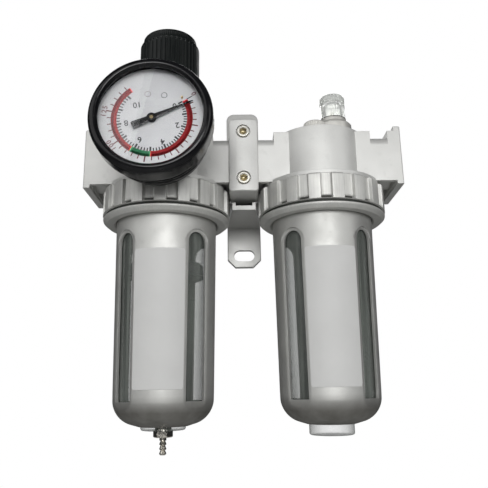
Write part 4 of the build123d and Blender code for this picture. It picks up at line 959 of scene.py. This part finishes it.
pin_x, pin_z = FILTER_X + 13.6, GAUGE_Z + 10.0
stop_pin = lathe(
    "dial_stop_pin",
    rounded([(0.0, 57.5), (0.45, 57.5), (0.45, 59.0, 0.2), (0.0, 59.1)]),
    forward_at(pin_x, pin_z), round_angles(20),
)
finish_piece(stop_pin, "gauge_dial", LOOKS["brass"])


def pointer():
    """Tapered blade with a bevelled spine, a broad tail and a domed hub, turned to its stop."""
    lean = math.radians(24)
    stations = [(-9.6, 1.35), (-9.2, 1.75), (-8.2, 1.85), (-5.0, 1.6), (-2.0, 1.4), (0.0, 1.3), (4.0, 1.08),
                (10.0, 0.72), (16.0, 0.42), (19.6, 0.24), (20.4, 0.08)]
    section = ((-1, 58.5), (-1, 58.8), (-0.45, 58.93), (0.45, 58.93), (1, 58.8), (1, 58.5))

    def put(along, across, front):
        x = along * math.cos(lean) - across * math.sin(lean)
        z = along * math.sin(lean) + across * math.cos(lean)
        return (FILTER_X + x, AXIS_Y - front, GAUGE_Z + z)

    loops = [[put(along, half * share, front) for share, front in section] for along, half in stations]
    return tube("pointer_blade", loops, 30)


stand_for(pointer(), "gauge_pointer")
hub = lathe(
    "pointer_hub",
    rounded([(0.85, 58.1), (2.3, 58.1, 0.1), (2.3, 58.9, 0.25), (1.5, 59.3, 0.3), (0.85, 59.35)]),
    round_gauge, round_angles(48),
)
finish_piece(hub, "gauge_pointer")


# ---- lubricator fittings ----
DOME_LOOK = clear_plastic("dome_plastic", (0.93, 0.94, 0.92), 0.03, transmission=0.72)
SATIN_SILVER = silver_paint("satin_silver", (0.68, 0.67, 0.63), 0.4, 0.45, 0.25, 0.3)


def sight_dome():
    """Clear dome, hexagonal below and round above, with a domed drip space inside."""
    flat_r, flats_top = 6.77, 39.2
    outline = [(4.6, 24.6), (5.5, 24.6), (5.5, 29.6)]
    outline += rounded([(5.5, 29.6), (7.1, 29.6, 0.1), (7.2, 30.0, 0.1), (7.2, 30.6)])[1:]
    outline += [(7.2, z) for z in divided(31.5, 38.2, 5) + divided(38.5, 39.8, 6)]
    outline += rounded([(7.2, 40.4), (7.2, 42.2, 0.5), (6.7, 43.2, 0.5), (5.6, 43.8, 0.6),
                        (0.0, 43.8)], steps=4)[1:]
    outline += arc_through((0.0, 40.6), (3.1, 39.4), (4.6, 36.4), 10)
    outline += [(4.6, 33.0), (4.6, 29.0)]

    def shape(r, h, angle):
        if r < 6.6 or h < 29.0:
            return r, h
        flat = min(r, hexagon(flat_r, angle))
        return r + (flat - r) * ease(-h, -flats_top - 0.2, -flats_top + 0.6), h

    return lathe("sight_dome_clear", outline, upright_at(DOME.x, DOME.y), round_angles(120), shape, 50)


stand_for(sight_dome(), "sight_dome", look=DOME_LOOK)

dome_base_outline = rounded([
    (0.0, 9.8), (6.45, 9.8, 0.3), (6.45, 14.2), (10.2, 14.2, 0.2), (10.2, 25.0, 0.5), (9.6, 25.8, 0.3),
    (7.8, 26.8, 0.4), (7.5, 27.4, 0.3), (7.5, 29.2, 0.2), (5.6, 29.2, 0.15), (5.6, 24.0), (0.0, 24.0),
])
stand_for(lathe("dome_base_turned", dome_base_outline, upright_at(DOME.x, DOME.y)), "dome_base",
          look=SATIN_SILVER)


def fill_plug():
    """Knurled plug with a screwdriver slot."""
    ribs = 30
    outline = [(0.0, 8.0), (3.0, 8.0), (3.95, 9.0), (3.95, 14.3), (3.4, 14.5), (3.4, 16.0)]
    outline += rounded([(3.4, 16.0), (6.0, 16.6, 0.3), (6.0, 17.2)])[1:]
    outline += [(6.0, z) for z in divided(17.3, 20.7, 6)]
    outline += rounded([(6.0, 20.7), (6.0, 20.9, 0.1), (5.5, 21.4, 0.3), (5.2, 21.4)])[1:]
    outline += [(4.6, 21.4), (3.4, 21.4), (2.0, 21.4), (0.8, 21.4), (0.0, 21.4)]

    def shape(r, h, angle):
        if r > 5.7 and h > 16.9:
            wave = 0.5 + 0.5 * math.cos(ribs * angle)
            return r - 0.3 * ease(h, 16.9, 17.4) * ease(wave, 0.35, 0.95), h
        if h > 21.3 and r < 5.3:
            across = abs(r * math.sin(angle))
            return r, h - 1.1 * ease(-across, -0.75, -0.6)
        return r, h

    return lathe("fill_plug_knurled", outline, upright_at(PLUG.x, PLUG.y), round_angles(ribs * 10), shape, 50)


stand_for(fill_plug(), "fill_plug", look=SATIN_SILVER)


# ---- clamp screws ----
SCREW_LOW, SCREW_HIGH = extent("clamp_screws")
SCREW_X = middle("clamp_screws").x
SCREW_R = 3.5
SCREWS = (("upper", SCREW_HIGH.z - SCREW_R), ("lower", SCREW_LOW.z + SCREW_R))
HEAD_FRONT = AXIS_Y - SCREW_LOW.y
SHANK_END = AXIS_Y - SCREW_HIGH.y
WELL_R, WELL_DEPTH = 2.0, 1.6
SCREW_RIM = silver_paint("screw_rim", (0.78, 0.76, 0.69), 0.34, 0.5, 0.25, 0.2)
# Painted shade: the socket lining is a darker metal than the head.
WELL_SHADE_LOOK = plated("socket_painted_shade", (0.42, 0.36, 0.22), 0.35, (0.2, 0.16, 0.09))


def cap_screw(name, z):
    """Socket screw: a rounded bright head with a hexagonal well, on its plain shank."""
    well = HEAD_FRONT - WELL_DEPTH
    outline = [(0.0, well), (WELL_R, well), (WELL_R, HEAD_FRONT - 0.35)]
    outline += rounded([(WELL_R, HEAD_FRONT - 0.35), (WELL_R + 0.2, HEAD_FRONT, 0.12),
                        (3.15, HEAD_FRONT, 0.4), (3.15, HEAD_FRONT - 2.6, 0.1), (2.0, HEAD_FRONT - 2.6),
                        (2.0, SHANK_END), (0.0, SHANK_END)], steps=4)[1:]

    def shape(r, h, angle):
        if h > well - 0.1 and 1.6 < r < WELL_R + 0.02:
            return hexagon(r * HEX_FLAT, angle), h
        return r, h

    return lathe(name, outline, forward_at(SCREW_X, z), round_angles(72), shape, 45)


def socket_well(name, z):
    """Darker lining of a screw's well, dished by the drill: painted shade in the socket."""
    outline = [(r, HEAD_FRONT - depth) for r, depth in (
        (0.0, 1.55), (0.7, 1.5), (1.3, 1.2), (1.85, 0.5), (1.91, 0.5), (1.91, 1.6), (0.0, 1.6))]

    def shape(r, h, angle):
        return hexagon(r * HEX_FLAT, angle), h

    return lathe(name, outline, forward_at(SCREW_X, z), round_angles(36), shape, 45)


screws = [finish_piece(cap_screw("cap_screw_" + end, z), "clamp_screws", SCREW_RIM) for end, z in SCREWS]
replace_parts(screws[0], "clamp_screws")
for end, z in SCREWS:
    finish_piece(socket_well("socket_shade_lining_" + end, z), "clamp_screws", WELL_SHADE_LOOK)


# ---- springs ----
def coil_spring(name, node, wire, turns):
    """Round-wire spring, standing on its fixed end."""
    low, high = extent(node)
    centre = (low + high) / 2
    length = high.z - low.z

    def put(part, side):
        angle = TAU * turns * part
        r = (high.x - low.x) / 2 - wire + wire * math.cos(side)
        z = low.z + wire + (length - 2 * wire) * part + wire * math.sin(side)
        return (centre.x + r * math.cos(angle), centre.y + r * math.sin(angle), z)

    loops = [[put(part, side) for side in round_angles(10)] for part in divided(0, 1, turns * 30)]
    spring = stand_for(tube(name, loops, 60), node)
    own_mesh(spring)


coil_spring("range_spring_wire", "range_spring", 1.2, 5)
coil_spring("valve_spring_wire", "valve_spring", 0.35, 3)
coil_spring("drain_spring_wire", "drain_spring", 0.22, 4)


# ---- camera, light and surroundings ----
CAMERA_AT = (-2.32, -326.03, -117.89)
CAMERA_UP, CAMERA_ROUND, CAMERA_TILT = (math.radians(angle) for angle in (14.416, 0.396, -0.925))


def aim_camera():
    forward = Vector((math.sin(CAMERA_ROUND) * math.cos(CAMERA_UP),
                      math.cos(CAMERA_ROUND) * math.cos(CAMERA_UP), math.sin(CAMERA_UP)))
    right = Vector((math.cos(CAMERA_ROUND), -math.sin(CAMERA_ROUND), 0))
    up = right.cross(forward)
    tilted_right = math.cos(CAMERA_TILT) * right + math.sin(CAMERA_TILT) * up
    tilted_up = math.cos(CAMERA_TILT) * up - math.sin(CAMERA_TILT) * right
    camera = added("camera", bpy.data.cameras.new("camera"))
    camera.matrix_world = axes_at(tilted_right, tilted_up, CAMERA_AT)
    camera.data.lens = 41.74
    camera.data.sensor_width = 36
    camera.data.clip_start = 0.01
    bpy.context.scene.camera = camera


aim_camera()


def soft_box(name, at, target, width, height, watts):
    """Area lamp in metres, turned to its target."""
    lamp = bpy.data.lights.new(name, "AREA")
    lamp.shape = "RECTANGLE"
    lamp.size, lamp.size_y = width, height
    lamp.energy = watts
    box = added(name, lamp)
    box.location = at
    box.rotation_euler = (Vector(target) - Vector(at)).to_track_quat("-Z", "Y").to_euler()


soft_box("key", (-0.95, -1.0, 0.5), (0, -0.03, -0.03), 1.6, 1.2, 7.0)
soft_box("front", (0.1, -1.2, 0.12), (0, -0.03, -0.04), 0.9, 0.36, 8.3)
soft_box("right", (0.95, -0.75, 0.3), (0, -0.03, -0.03), 0.5, 0.8, 2.3)
soft_box("back", (0.1, 1.1, 0.75), (0, 0, -0.03), 1.2, 0.8, 6.0)

bpy.context.scene.view_settings.view_transform = "Standard"
WORLD_LIGHT = ((0.9, 0.95, 1, 1), 0.025)      # what falls on the object
BACKDROP = ((1, 1, 1, 1), 1.0)                # what is seen behind it
world = bpy.data.worlds.new("studio")
bpy.context.scene.world = world
world.use_nodes = True
sky = world.node_tree
sky.nodes.clear()
rays = sky.nodes.new("ShaderNodeLightPath")
choose = sky.nodes.new("ShaderNodeMixShader")
out = sky.nodes.new("ShaderNodeOutputWorld")
sky.links.new(rays.outputs["Is Camera Ray"], choose.inputs[0])
sky.links.new(choose.outputs[0], out.inputs["Surface"])
for index, (colour, strength) in enumerate((WORLD_LIGHT, BACKDROP), start=1):
    light = sky.nodes.new("ShaderNodeBackground")
    light.inputs["Color"].default_value = colour
    light.inputs["Strength"].default_value = strength
    sky.links.new(light.outputs[0], choose.inputs[index])

FLOOR_Z, FLOOR_HALF = -0.75, 3.0              # metres
floor_corners = [(x * FLOOR_HALF, y * FLOOR_HALF, FLOOR_Z) for x, y in ((-1, -1), (1, -1), (1, 1), (-1, 1))]
floor_mesh = bpy.data.meshes.new("floor")
floor_mesh.from_pydata(floor_corners, [], [(0, 1, 2, 3)])
floor = added("floor", floor_mesh)
floor_look = Shader("pale_floor", Roughness=0.8)
patches = floor_look.noise(30, 3)
floor_look.feed("Base Color", floor_look.blend(patches, (0.72, 0.72, 0.71), (0.78, 0.78, 0.77)))
floor_mesh.materials.append(floor_look.material)
